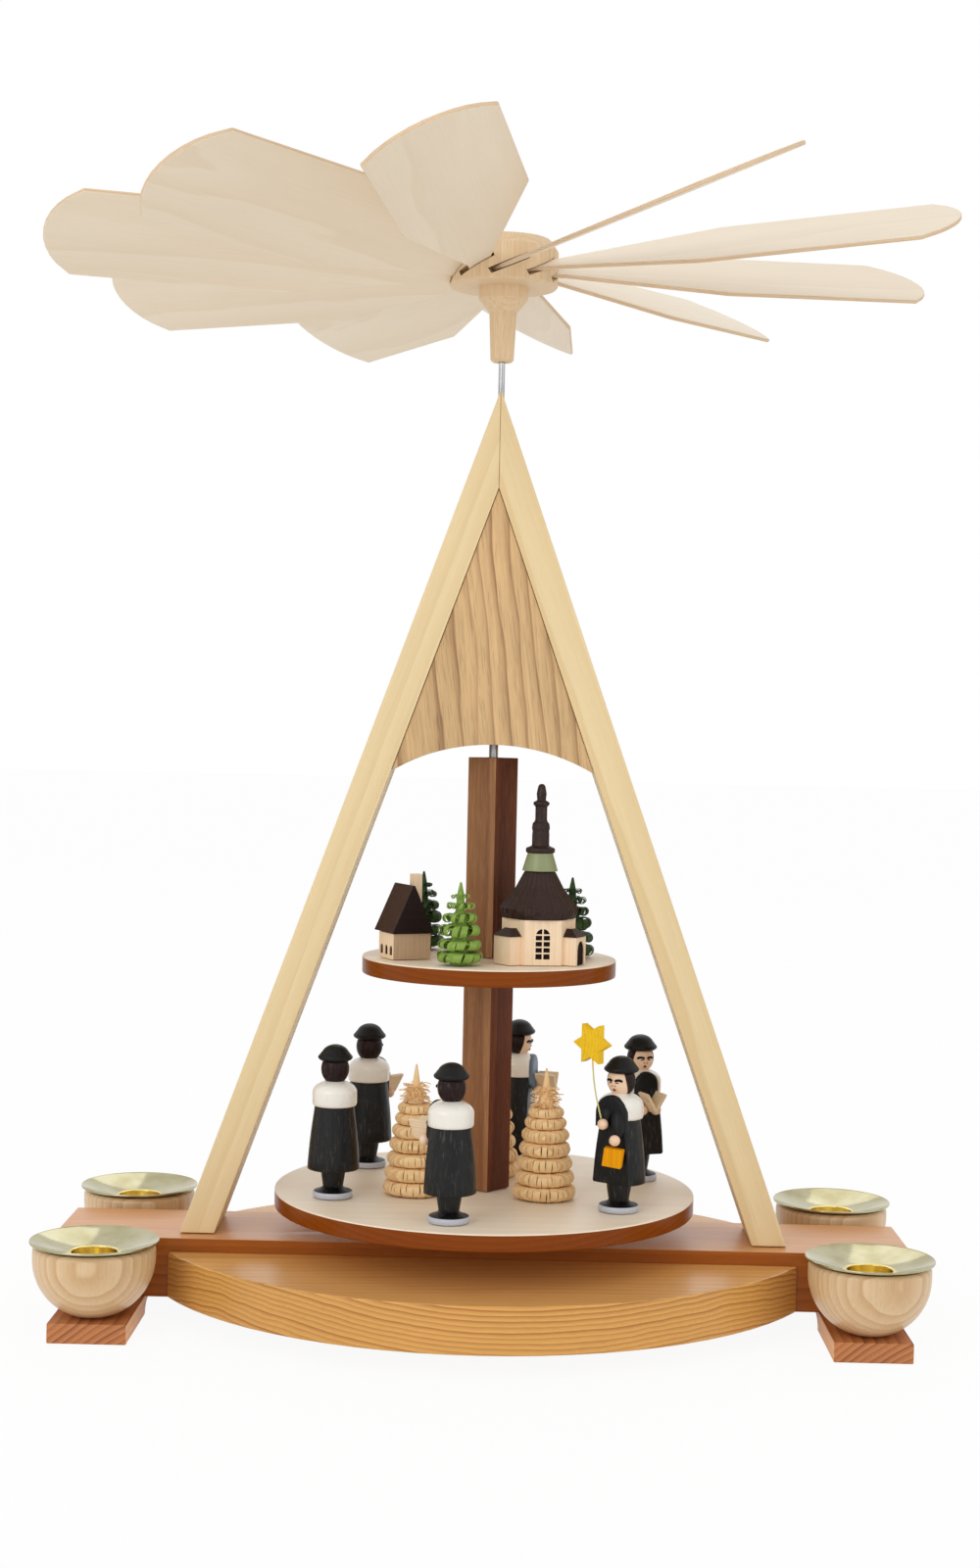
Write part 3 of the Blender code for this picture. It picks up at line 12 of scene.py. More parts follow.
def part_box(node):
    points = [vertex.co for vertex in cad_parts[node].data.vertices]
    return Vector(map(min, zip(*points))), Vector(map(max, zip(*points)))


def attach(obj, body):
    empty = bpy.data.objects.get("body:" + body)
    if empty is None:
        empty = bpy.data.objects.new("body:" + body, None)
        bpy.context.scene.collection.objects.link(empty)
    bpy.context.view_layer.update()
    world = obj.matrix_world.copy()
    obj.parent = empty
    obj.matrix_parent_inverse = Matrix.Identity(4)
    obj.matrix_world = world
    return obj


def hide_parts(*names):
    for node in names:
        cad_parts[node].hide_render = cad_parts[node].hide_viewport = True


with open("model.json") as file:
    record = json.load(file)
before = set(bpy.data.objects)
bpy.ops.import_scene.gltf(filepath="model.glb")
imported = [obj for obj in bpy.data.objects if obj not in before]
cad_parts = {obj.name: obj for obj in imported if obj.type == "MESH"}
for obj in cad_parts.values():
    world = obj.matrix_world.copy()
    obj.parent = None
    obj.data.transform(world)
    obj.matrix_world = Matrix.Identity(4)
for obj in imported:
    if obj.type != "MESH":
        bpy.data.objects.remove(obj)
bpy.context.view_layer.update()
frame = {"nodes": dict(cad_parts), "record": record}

scene = bpy.context.scene
nodes = frame["nodes"]
bodies = frame["record"]["behaviour"]["bodies"]
bodyOf = {node: body for body, members in bodies.items() for node in members}
print("frame loaded:", len(nodes), "nodes")


class Values(dict):
    # a dictionary whose values can be read as values.name
    __getattr__ = dict.__getitem__


# Camera at the photograph's viewpoint
camera = Values(
    place=(0.00635, -0.81348, 0.20984),
    yaw=0.52,        # degrees to the left
    pitch=1.48,      # degrees down
    roll=1.24,
    lens=52.19,      # mm on a 36 mm sensor
)


def setCamera():
    yaw, pitch, roll = (math.radians(camera[key]) for key in ("yaw", "pitch", "roll"))
    across = Vector((math.cos(yaw), math.sin(yaw), 0))
    ahead = Vector((-math.sin(yaw), math.cos(yaw), 0))
    forward = ahead * math.cos(pitch) - Vector((0, 0, 1)) * math.sin(pitch)
    upright = Vector((0, 0, 1)) * math.cos(pitch) + ahead * math.sin(pitch)
    right = across * math.cos(roll) + upright * math.sin(roll)
    up = upright * math.cos(roll) - across * math.sin(roll)
    lensData = bpy.data.cameras.new("camera")
    lensData.lens = camera.lens
    lensData.sensor_width = 36
    lensData.clip_start = 0.01
    viewer = bpy.data.objects.new("camera", lensData)
    viewer.matrix_world = Matrix.Translation(camera.place) @ Matrix((right, up, -forward)).transposed().to_4x4()
    scene.collection.objects.link(viewer)
    scene.camera = viewer
    scene.view_settings.view_transform = "Standard"


setCamera()


# Small helpers for shader nodes
def tint(red, green, blue):
    # display values from 0 to 255 as a linear colour
    return tuple((value / 255) ** 2.2 for value in (red, green, blue)) + (1.0,)


def put(tree, kind, setup=None, feed=None):
    made = tree.nodes.new("ShaderNode" + kind)
    made.location = (190 * (len(tree.nodes) % 12), -240 * (len(tree.nodes) // 12))
    for key, value in (setup or {}).items():
        setattr(made, key, value)
    for key, value in (feed or {}).items():
        if isinstance(value, bpy.types.NodeSocket):
            tree.links.new(value, made.inputs[key])
        else:
            made.inputs[key].default_value = value
    return made


def calc(tree, operation, first, second=0.0):
    return put(tree, "Math", {"operation": operation}, {0: first, 1: second}).outputs[0]


def stretch(tree, vector, scale):
    return put(tree, "VectorMath", {"operation": "MULTIPLY"}, {0: vector, 1: scale}).outputs[0]


def noise(tree, vector, detail=2.0, scale=1.0):
    return put(tree, "TexNoise", None, {"Vector": vector, "Scale": scale, "Detail": detail}).outputs["Fac"]


def blendColours(tree, factor, first, second):
    return put(tree, "Mix", {"data_type": "RGBA"}, {0: factor, 6: first, 7: second}).outputs[2]


def mapRange(tree, value, low, high, toLow=0.0, toHigh=1.0):
    feed = {"Value": value, "From Min": low, "From Max": high, "To Min": toLow, "To Max": toHigh}
    return put(tree, "MapRange", {"interpolation_type": "SMOOTHSTEP"}, feed).outputs["Result"]


def newGroup(name, takes, gives):
    group = bpy.data.node_groups.new(name, "ShaderNodeTree")
    for label, kind in takes:
        group.interface.new_socket(name=label, in_out="INPUT", socket_type="NodeSocket" + kind)
    for label, kind in gives:
        group.interface.new_socket(name=label, in_out="OUTPUT", socket_type="NodeSocket" + kind)
    return group, group.nodes.new("NodeGroupInput").outputs, group.nodes.new("NodeGroupOutput").inputs


def seededVector(tree, vector):
    # each piece carries its own seed, so that no two show the same stretch of wood
    seed = put(tree, "Attribute", {"attribute_name": "seed"}).outputs["Fac"]
    shift = put(tree, "VectorMath", {"operation": "SCALE"}, {0: (1.0, 0.37, 0.61), "Scale": seed}).outputs[0]
    return put(tree, "VectorMath", {"operation": "ADD"}, {0: vector, 1: shift}).outputs[0]


# Wood as it grows: rings round a pith line that runs along the piece's own X
grain = Values(drift=(7, 42, 42), fibre=(38, 1150, 1150), blotch=(10, 34, 34), pores=(110, 3700, 3700))


def buildSolidWood():
    takes = [("Vector", "Vector"), ("Pith", "Vector"), ("Ring Width", "Float"), ("Wander", "Float")]
    takes += [("Late Power", "Float"), ("Early", "Color"), ("Late", "Color"), ("Fibre", "Float")]
    takes += [("Pores", "Float"), ("Blotch", "Float")]
    group, given, out = newGroup("solidWood", takes, [("Color", "Color"), ("Height", "Float")])
    moved = seededVector(group, given["Vector"])
    drift = calc(group, "SUBTRACT", noise(group, stretch(group, moved, grain.drift), 3), 0.5)
    away = put(group, "VectorMath", {"operation": "SUBTRACT"}, {0: given["Vector"], 1: given["Pith"]}).outputs[0]
    flatAway = stretch(group, away, (0, 1, 1))
    reach = put(group, "VectorMath", {"operation": "LENGTH"}, {0: flatAway}).outputs["Value"]
    reach = calc(group, "ADD", reach, calc(group, "MULTIPLY", drift, given["Wander"]))
    phase = calc(group, "DIVIDE", reach, given["Ring Width"])
    year = put(group, "TexWhiteNoise", {"noise_dimensions": "1D"}, {"W": calc(group, "FLOOR", phase)})
    share = calc(group, "FRACT", phase)
    late = calc(group, "POWER", share, given["Late Power"])
    late = calc(group, "MULTIPLY", late, mapRange(group, share, 0.90, 1.0, 1.0, 0.0))
    late = calc(group, "MULTIPLY", late, mapRange(group, year.outputs["Value"], 0, 1, 0.55, 1.0))
    colour = blendColours(group, late, given["Early"], given["Late"])
    fibre = calc(group, "SUBTRACT", noise(group, stretch(group, moved, grain.fibre), 3), 0.5)
    blotch = calc(group, "SUBTRACT", noise(group, stretch(group, moved, grain.blotch), 2), 0.5)
    pore = mapRange(group, noise(group, stretch(group, moved, grain.pores), 1), 0.57, 0.68)
    pore = calc(group, "MULTIPLY", pore, given["Pores"])
    shade = calc(group, "ADD", 1.0, calc(group, "MULTIPLY", fibre, given["Fibre"]))
    shade = calc(group, "ADD", shade, calc(group, "MULTIPLY", blotch, given["Blotch"]))
    shade = calc(group, "SUBTRACT", shade, calc(group, "MULTIPLY", pore, 0.55))
    shaded = put(group, "VectorMath", {"operation": "SCALE"}, {0: colour, "Scale": shade}).outputs[0]
    group.links.new(shaded, out["Color"])
    height = calc(group, "SUBTRACT", calc(group, "MULTIPLY", fibre, 0.6), pore)
    group.links.new(calc(group, "ADD", height, calc(group, "MULTIPLY", late, 0.35)), out["Height"])
    return group


# Paint or stain over turned wood: the grain still shows through as fine ridges and specks
brush = Values(ridges=(1500, 1500, 190), clouds=(170, 170, 120), specks=(1900, 1900, 900))


def buildPaintedWood():
    takes = [("Vector", "Vector"), ("Paint", "Color"), ("Worn", "Color"), ("Grain", "Float"), ("Speck", "Float")]
    gives = [("Color", "Color"), ("Height", "Float"), ("Dull", "Float")]
    group, given, out = newGroup("paintedWood", takes, gives)
    moved = seededVector(group, given["Vector"])
    ridges = noise(group, stretch(group, moved, brush.ridges), 3)
    clouds = noise(group, stretch(group, moved, brush.clouds), 2)
    specks = mapRange(group, noise(group, stretch(group, moved, brush.specks), 1), 0.66, 0.76)
    worn = calc(group, "MULTIPLY", mapRange(group, ridges, 0.52, 0.74), given["Grain"])
    worn = calc(group, "MAXIMUM", worn, calc(group, "MULTIPLY", specks, given["Speck"]))
    worn = calc(group, "MULTIPLY", worn, mapRange(group, clouds, 0.30, 0.62))
    group.links.new(blendColours(group, worn, given["Paint"], given["Worn"]), out["Color"])
    group.links.new(calc(group, "SUBTRACT", calc(group, "MULTIPLY", ridges, given["Grain"]), specks), out["Height"])
    group.links.new(clouds, out["Dull"])
    return group


# Spun or drawn metal: fine rings round the piece's own Z
spun = Values(rings=5200, clouds=(90, 90, 90))


def buildSpunMetal():
    takes = [("Vector", "Vector"), ("Bright", "Color"), ("Dull", "Color"), ("Low", "Float"), ("High", "Float")]
    gives = [("Color", "Color"), ("Roughness", "Float"), ("Height", "Float")]
    group, given, out = newGroup("spunMetal", takes, gives)
    flat = stretch(group, given["Vector"], (1, 1, 0))
    reach = put(group, "VectorMath", {"operation": "LENGTH"}, {0: flat}).outputs["Value"]
    feed = {"W": reach, "Scale": spun.rings, "Detail": 2}
    rings = put(group, "TexNoise", {"noise_dimensions": "1D"}, feed).outputs["Fac"]
    clouds = noise(group, stretch(group, seededVector(group, given["Vector"]), spun.clouds), 3)
    cloudy = mapRange(group, clouds, 0.35, 0.7)
    group.links.new(blendColours(group, cloudy, given["Bright"], given["Dull"]), out["Color"])
    rough = put(group, "MapRange", None, {"Value": clouds, "To Min": given["Low"], "To Max": given["High"]})
    group.links.new(rough.outputs["Result"], out["Roughness"])
    group.links.new(rings, out["Height"])
    return group


solidWood = buildSolidWood()
paintedWood = buildPaintedWood()
spunMetal = buildSpunMetal()


def startMaterial(name, group, feed, extra, strength=0.6):
    made = bpy.data.materials.new(name)
    made.use_nodes = True
    tree = made.node_tree
    where = put(tree, "TexCoord").outputs["Object"]
    if "upright" in extra:
        where = put(tree, "Mapping", None, {"Vector": where, "Rotation": (0, math.pi / 2, 0)}).outputs["Vector"]
    effect = put(tree, "Group", {"node_tree": group}, {"Vector": where} | feed).outputs
    shader = tree.nodes["Principled BSDF"].inputs
    tree.links.new(effect["Color"], shader["Base Color"])
    relief = {"Height": effect["Height"], "Distance": extra["bump"], "Strength": strength}
    tree.links.new(put(tree, "Bump", None, relief).outputs["Normal"], shader["Normal"])
    shader["Coat Weight"].default_value = extra["coat"]
    shader["Coat Roughness"].default_value = extra["coatRoughness"]
    shader["Specular IOR Level"].default_value = extra["specular"]
    return made, tree, effect, shader


def woodMaterial(name, early, late, pith, width, wander, power, fibre, pores, blotch, rough, extra={}):
    feed = {
        "Early": tint(*early), "Late": tint(*late), "Pith": pith, "Ring Width": width, "Wander": wander,
        "Late Power": power, "Fibre": fibre, "Pores": pores, "Blotch": blotch,
    }
    usual = {"coat": 0.0, "coatRoughness": 0.25, "specular": 0.5, "bump": 0.00006}
    made, tree, effect, shader = startMaterial(name, solidWood, feed, usual | extra)
    dull = mapRange(tree, effect["Height"], -0.6, 0.4, rough + 0.08, rough - 0.04)
    tree.links.new(dull, shader["Roughness"])
    return made


def paintMaterial(name, paint, worn, grain, speck, rough, extra={}):
    feed = {"Paint": tint(*paint), "Worn": tint(*worn), "Grain": grain, "Speck": speck}
    usual = {"coat": 0.0, "coatRoughness": 0.2, "specular": 0.5, "bump": 0.00005}
    made, tree, effect, shader = startMaterial(name, paintedWood, feed, usual | extra)
    dull = mapRange(tree, effect["Dull"], 0.25, 0.75, rough - 0.06, rough + 0.08)
    tree.links.new(dull, shader["Roughness"])
    return made


def metalMaterial(name, bright, dull, low, high, bump):
    feed = {"Bright": tint(*bright), "Dull": tint(*dull), "Low": low, "High": high}
    usual = {"coat": 0.0, "coatRoughness": 0.03, "specular": 0.5, "bump": bump}
    made, tree, effect, shader = startMaterial(name, spunMetal, feed, usual, 0.35)
    shader["Metallic"].default_value = 1.0
    tree.links.new(effect["Roughness"], shader["Roughness"])
    return made


# Every finish on the object. Pith places are metres in the piece's own frame, whose X runs along the grain
woods = {
    # early and late wood, pith, ring width, wander, late power, fibre, pores, blotch, roughness, what else it has
    "larch": ((196, 126, 74), (112, 50, 24), (0, -0.068, -0.098), 0.0021, 0.0015, 1.7, 0.25, 0.1, 0.2, 0.5),
    # a lighter copy of the larch: painted light on the side faces of the foot bars
    "larchPaintedLight": ((238, 178, 118), (206, 138, 82), (0, -0.068, -0.098), 0.0021, 0.003, 1.7, 0.25, 0.1, 0.2, 0.5),
    "plankPine": ((216, 156, 100), (200, 132, 78), (0, 0.03, -0.12), 0.0034, 0.006, 1.5, 0.2, 0.25, 0.22, 0.4,
        {"coat": 0.4, "coatRoughness": 0.28, "specular": 0.25}),
    "plankSide": ((166, 94, 36), (140, 74, 24), (0, 0.03, -0.12), 0.0034, 0.006, 1.5, 0.2, 0.25, 0.22, 0.4,
        {"coat": 0.15, "coatRoughness": 0.25, "specular": 0.15}),
    "amberPine": ((222, 166, 96), (196, 134, 68), (0, 0.06, -0.115), 0.0019, 0.005, 1.5, 0.2, 0.1, 0.25, 0.38,
        {"coat": 0.4, "coatRoughness": 0.25, "specular": 0.25}),
    "amberEdge": ((224, 167, 90), (152, 84, 34), (0, 0.004, -0.115), 0.0017, 0.005, 1.7, 0.2, 0.1, 0.25, 0.38,
        {"coat": 0.25, "coatRoughness": 0.25, "specular": 0.25}),
    "limeWood": ((233, 209, 162), (223, 193, 140), (0, 0.035, 0.02), 0.0026, 0.003, 1.3, 0.13, 0.05, 0.08, 0.5),
    "ashPanel": ((211, 173, 123), (124, 74, 38), (0, 0.012, 0.034), 0.0056, 0.016, 4.0, 0.55, 0.45, 0.4, 0.55),
    "walnut": ((154, 109, 74), (123, 82, 54), (0, 0.05, 0.03), 0.006, 0.006, 1.2, 0.75, -0.6, 0.3, 0.5,
        {"specular": 0.3}),
    # a darker copy of the walnut: painted shade on two opposite sides of each post
    "walnutPaintedShade": ((105, 55, 30), (80, 40, 22), (0, 0.03, 0.05), 0.006, 0.006, 1.2, 0.85, -0.9, 0.35, 0.5,
        {"specular": 0.25}),
    "discFace": ((242, 226, 203), (234, 215, 189), (0, 0.01, -0.09), 0.005, 0.012, 1.3, 0.08, 0.06, 0.08, 0.5,
        {"coat": 0.15, "coatRoughness": 0.4}),
    "discEdge": ((134, 67, 9), (117, 54, 5), (0, 0.01, -0.25), 0.0021, 0.0004, 1.2, 0.2, 0.12, 0.25, 0.34,
        {"coat": 0.12, "coatRoughness": 0.15, "specular": 0.08}),
    "turnedBeech": ((227, 198, 158), (217, 183, 141), (0, 0.055, 0.02), 0.0016, 0.002, 1.5, 0.3, 0.25, 0.08, 0.5),
    "bladeBirch": ((238, 223, 200), (232, 214, 187), (0, 0.01, -0.05), 0.006, 0.016, 1.2, 0.06, 0.04, 0.07, 0.55),
    "bladeEdge": ((228, 200, 166), (206, 172, 134), (0, 0.004, -0.034), 0.0007, 0.0005, 1.0, 0.15, 0.1, 0.15, 0.6),
    "turnedAsh": ((222, 190, 147), (196, 152, 102), (0, 0.046, 0.005), 0.0021, 0.003, 1.5, 0.16, 0.2, 0.08, 0.42,
        {"coat": 0.3, "coatRoughness": 0.3}),
    "naturalChips": ((246, 209, 155), (220, 172, 112), (0, 0.02, 0), 0.0016, 0.004, 1.4, 0.28, 0.12, 0.22, 0.62,
        {"bump": 0.00012, "upright": True}),
    "chipShade": ((128, 90, 56), (104, 70, 42), (0, 0.02, 0), 0.0016, 0.004, 1.4, 0.28, 0.12, 0.22, 0.7,
        {"specular": 0.2}),
    "limeGreenChips": ((132, 160, 66), (98, 132, 44), (0, 0.02, 0), 0.0012, 0.004, 1.3, 0.5, 0.2, 0.4, 0.55,
        {"upright": True}),
    "darkGreenChips": ((58, 86, 42), (28, 50, 22), (0, 0.02, 0), 0.0012, 0.004, 1.2, 0.4, 0.15, 0.45, 0.55,
        {"specular": 0.35}),
    "wallMaple": ((244, 217, 183), (236, 202, 165), (0, 0.03, 0.03), 0.0015, 0.002, 1.4, 0.12, 0.08, 0.07, 0.55,
        {"upright": True}),
    # a darker copy of the wall wood: painted shade on the near house's front-right and back-left walls
    "wallPaintedShade": ((193, 161, 128), (184, 151, 119), (0, 0.03, 0.03), 0.0009, 0.001, 1.4, 0.2, 0.3, 0.1, 0.6,
        {"upright": True}),
    "roofStain": ((67, 45, 37), (52, 34, 28), (0, 0.05, -0.03), 0.0014, 0.002, 1.2, 0.7, 0.4, 0.4, 0.55,
        {"specular": 0.25}),
    # a darker copy of the roof stain: painted shade on the near house roof's gable ends and underside
    "roofPaintedShade": ((37, 21, 18), (28, 16, 14), (0, 0.05, -0.03), 0.0014, 0.002, 1.2, 0.5, 0.3, 0.4, 0.6,
        {"specular": 0.2}),
    "churchStain": ((58, 38, 31), (32, 18, 14), (0, 0.02, -0.01), 0.0007, 0.002, 1.2, 0.8, 0.3, 0.3, 0.5,
        {"specular": 0.3, "upright": True}),
    "bookMaple": ((238, 215, 182), (226, 196, 158), (0, 0.02, 0.01), 0.001, 0.001, 1.3, 0.15, 0.05, 0.08, 0.55),
    "starYellow": ((243, 198, 28), (229, 174, 16), (0, 0.02, 0.01), 0.001, 0.001, 1.3, 0.25, 0.2, 0.2, 0.5,
        {"specular": 0.3}),
    "lanternOrange": ((232, 156, 8), (209, 126, 4), (0, 0.02, 0.01), 0.0012, 0.001, 1.3, 0.3, 0.2, 0.2, 0.5,
        {"specular": 0.1, "upright": True}),
}
paints = {
    # paint, worn paint, grain, specks, roughness, what else it has
    "coatBlack": ((9, 9, 9), (70, 66, 64), 0.85, 0.5, 0.4,
        {"coat": 0.05, "coatRoughness": 0.3, "bump": 0.0003, "specular": 0.3}),
    "hatBlack": ((10, 10, 10), (36, 36, 38), 0.4, 0.3, 0.42, {"coat": 0.05, "coatRoughness": 0.25, "specular": 0.25}),
    "sleeveBlack": ((15, 16, 20), (44, 46, 52), 0.4, 0.2, 0.48, {"coat": 0.05, "specular": 0.25}),
    "sleeveBlue": ((100, 116, 136), (134, 146, 162), 0.3, 0.1, 0.45),
    "capeIvory": ((238, 233, 223), (230, 222, 207), 0.3, 0.1, 0.3,
        {"coat": 0.5, "coatRoughness": 0.18, "bump": 0.00003}),
    "baseGrey": ((186, 189, 199), (160, 162, 174), 0.3, 0.2, 0.42, {"coat": 0.2, "bump": 0.00003}),
    "skin": ((241, 204, 171), (232, 178, 142), 0.3, 0.1, 0.42, {"coat": 0.15, "bump": 0.00002}),
    "hairBrown": ((54, 34, 32), (128, 98, 90), 0.6, 0.5, 0.36, {"coat": 0.1, "specular": 0.3}),
    "faceInk": ((12, 8, 7), (30, 20, 18), 0.2, 0.0, 0.5, {"bump": 0.00001, "specular": 0.2}),
    "lipRed": ((138, 22, 14), (160, 40, 28), 0.2, 0.0, 0.45, {"bump": 0.00001}),
    "spireBrown": ((43, 26, 19), (92, 68, 54), 0.6, 0.35, 0.5, {"bump": 0.00008, "specular": 0.35}),
    "collarGreen": ((135, 142, 99), (134, 148, 98), 0.4, 0.2, 0.42, {"coat": 0.2}),
    "windowDark": ((28, 17, 14), (50, 32, 26), 0.4, 0.1, 0.6, {"bump": 0.00002, "specular": 0.1}),
    "wirePaint": ((206, 196, 120), (170, 156, 84), 0.3, 0.2, 0.4, {"bump": 0.00001}),
}
metals = {
    # bright and dull colour, lowest and highest roughness, bump
    "plateBrass": ((186, 180, 147), (166, 157, 118), 0.07, 0.14, 0.000006),
    "socketBrass": ((240, 222, 150), (226, 202, 122), 0.14, 0.24, 0.000008),
    "steel": ((196, 196, 198), (160, 160, 164), 0.2, 0.32, 0.000004),
    "bushBrass": ((214, 180, 108), (184, 146, 76), 0.25, 0.38, 0.000006),
}
finishes = {name: woodMaterial(name, *look) for name, look in woods.items()}
finishes |= {name: paintMaterial(name, *look) for name, look in paints.items()}
finishes |= {name: metalMaterial(name, *look) for name, look in metals.items()}
print("finishes made:", len(finishes))


# Mesh helpers
def meshFrom(shape, outward=False):
    if outward:
        bmesh.ops.recalc_face_normals(shape, faces=shape.faces)
    mesh = bpy.data.meshes.new("shape")
    shape.to_mesh(mesh)
    shape.free()
    return mesh


def addPiece(name, node, mesh, looks, own, seed=0.0, edge=0.0, smooth=35, stands=True):
    # own is the piece's own frame; the mesh is given in it and takes the piece's name
    mesh.name = name
    for look in looks:
        mesh.materials.append(finishes[look])
    mesh.shade_smooth()
    mesh.set_sharp_from_angle(angle=math.radians(smooth))
    marks = mesh.attributes.new("seed", "FLOAT", "POINT")
    marks.data.foreach_set("value", [seed] * len(mesh.vertices))
    piece = bpy.data.objects.new(name, mesh)
    scene.collection.objects.link(piece)
    piece.matrix_world = own
    if edge:
        rounding = piece.modifiers.new("rounding", "BEVEL")
        rounding.width = edge
        rounding.segments = 2
        rounding.limit_method = "ANGLE"
        rounding.angle_limit = math.radians(32)
        rounding.harden_normals = True
    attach(piece, bodyOf[node])
    if stands:
        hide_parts(node)


def dressNode(node, looks, own=None, paint=None, seed=0.0, edge=0.0003, smooth=35, mend=None):
    # the solid's own shape, welded and cleaned, in the piece's own frame
    source = nodes[node].data
    own = Matrix.Translation(middle(node)) if own is None else own
    shape = bmesh.new()
    shape.from_mesh(source)
    bmesh.ops.remove_doubles(shape, verts=shape.verts, dist=0.000002)
    bmesh.ops.dissolve_limit(shape, angle_limit=math.radians(1), verts=shape.verts, edges=shape.edges)
    bmesh.ops.recalc_face_normals(shape, faces=shape.faces)
    if mend:
        for vertex in shape.verts:
            vertex.co = mend(vertex.co)
    shape.transform(own.inverted())
    if paint:
        for face in shape.faces:
            face.normal_update()
            face.material_index = paint(face.calc_center_median(), face.normal)
    addPiece(node + "_dressed", node, meshFrom(shape), looks, own, seed, edge, smooth)


def along(axis, place, turn=0.0):
    # a frame at place whose X runs along axis; turn spins it about that line
    direction = Vector(axis).normalized()
    side = Vector((0, 1, 0)) if abs(direction.y) < 0.9 else Vector((-1, 0, 0))
    up = direction.cross(side).normalized()
    side = up.cross(direction)
    grid = Matrix((direction, side, up)).transposed().to_4x4()
    return Matrix.Translation(place) @ grid @ Matrix.Rotation(turn, 4, "X")


def spin(degrees, axis="Z"):
    return Matrix.Rotation(math.radians(degrees), 4, axis)


def middle(node):
    low, high = (Vector(corner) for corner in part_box(node))
    return (low + high) / 2


def footOf(node):
    low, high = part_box(node)
    return Vector(((low[0] + high[0]) / 2, (low[1] + high[1]) / 2, low[2]))


def softened(points, radius, steps=3):
    # rounds every inner corner of a profile
    done = [Vector(points[0])]
    for before, corner, after in zip(points, points[1:], points[2:]):
        corner, before, after = Vector(corner), Vector(before), Vector(after)
        cut = min(radius, 0.45 * (before - corner).length, 0.45 * (after - corner).length)
        start = corner + (before - corner).normalized() * cut
        end = corner + (after - corner).normalized() * cut
        for step in range(steps + 1):
            t = step / steps
            done.append((1 - t) ** 2 * start + 2 * t * (1 - t) * corner + t * t * end)
    return done + [Vector(points[-1])]


def ellipse(centre, radii, start, end, steps):
    # points on an arc, from one angle to another in degrees
    points = []
    for step in range(steps + 1):
        angle = math.radians(start + (end - start) * step / steps)
        points.append((centre[0] + radii[0] * math.cos(angle), centre[1] + radii[1] * math.sin(angle)))
    return points


def turnedMesh(profile, steps=64, paint=None, reach=None):
    # spins a profile of (radius, height), top to bottom, round Z
    shape = bmesh.new()
    rings = []
    for radius, height in profile:
        if radius < 0.000001:
            rings.append([shape.verts.new((0, 0, height))])
            continue
        ring = []
        for step in range(steps):
            angle = math.tau * step / steps
            wide = radius * (reach(angle, radius, height) if reach else 1)
            ring.append(shape.verts.new((wide * math.cos(angle), wide * math.sin(angle), height)))
        rings.append(ring)
    for upper, lower in zip(rings, rings[1:]):
        for step in range(max(len(upper), len(lower))):
            after = (step + 1) % steps
            if len(upper) == 1 and len(lower) == 1:
                break
            if len(upper) == 1:
                corners = [upper[0], lower[step], lower[after]]
            elif len(lower) == 1:
                corners = [upper[step], lower[0], upper[after]]
            else:
                corners = [upper[step], lower[step], lower[after], upper[after]]
            face = shape.faces.new(corners)
            if paint:
                face.material_index = paint(face.calc_center_median())
    return meshFrom(shape, True)


def ballMesh(radii, columns=28, rows=18, taper=0.0):
    shape = bmesh.new()
    bmesh.ops.create_uvsphere(shape, u_segments=columns, v_segments=rows, radius=1)
    for vertex in shape.verts:
        narrowing = 1 - taper * vertex.co.z
        vertex.co *= Vector((radii[0] * narrowing, radii[1] * narrowing, radii[2]))
    return meshFrom(shape)


def skinInto(shape, rings):
    # a skin over rings of one count, closed at both ends
    for first, second in zip(rings, rings[1:]):
        for step in range(len(first)):
            after = (step + 1) % len(first)
            shape.faces.new([first[step], first[after], second[after], second[step]])
    shape.faces.new(rings[0][::-1])
    shape.faces.new(rings[-1])


def tubeInto(shape, points, radius, sides=8):
    # a closed tube with round ends along points
    points = [Vector(point) for point in points]
    rings = []
    side = None
    for index, point in enumerate(points):
        ahead = (points[min(index + 1, len(points) - 1)] - points[max(index - 1, 0)]).normalized()
        if side is None:
            side = ahead.orthogonal().normalized()
        side = (side - ahead * side.dot(ahead)).normalized()
        other = ahead.cross(side)
        wide = radius * (0.55 if index in (0, len(points) - 1) else 1)
        turns = [math.tau * step / sides for step in range(sides)]
        rings.append([shape.verts.new(point + wide * (math.cos(a) * side + math.sin(a) * other)) for a in turns])
    skinInto(shape, rings)


# Stand: foot bars, plank, steps, frame and panels
stand = Values(
    barEdge=0.0004, plankEdge=0.0005, stepEdge=0.0006, legEdge=0.0004, panelEdge=0.00015,
    legRun=0.1071, legRise=0.2993, mitreLine=0.00003, mitreReach=0.0004,
    stepTilt=2.0,     # degrees that the growth layers of a step run off its length
    panelLean=-0.12,  # the panel's grain leans by this much sideways
)


def closeMitre(point):
    # the glued mitre at the apex shows as a hairline
    across = math.copysign(stand.mitreLine, point.x) if abs(point.x) < stand.mitreReach else point.x
    return Vector((across, point.y, point.z))


def paintPlank(centre, normal):
    # faces across the piece's own Y take the second finish: on the foot bars a lighter copy of the larch, painted light
    # on their sides; on the plank a darker copy for its front and back
    return 1 if abs(normal.y) > 0.7 else 0


def paintStep(centre, normal):
    return 0 if abs(normal.z) > 0.7 else 1


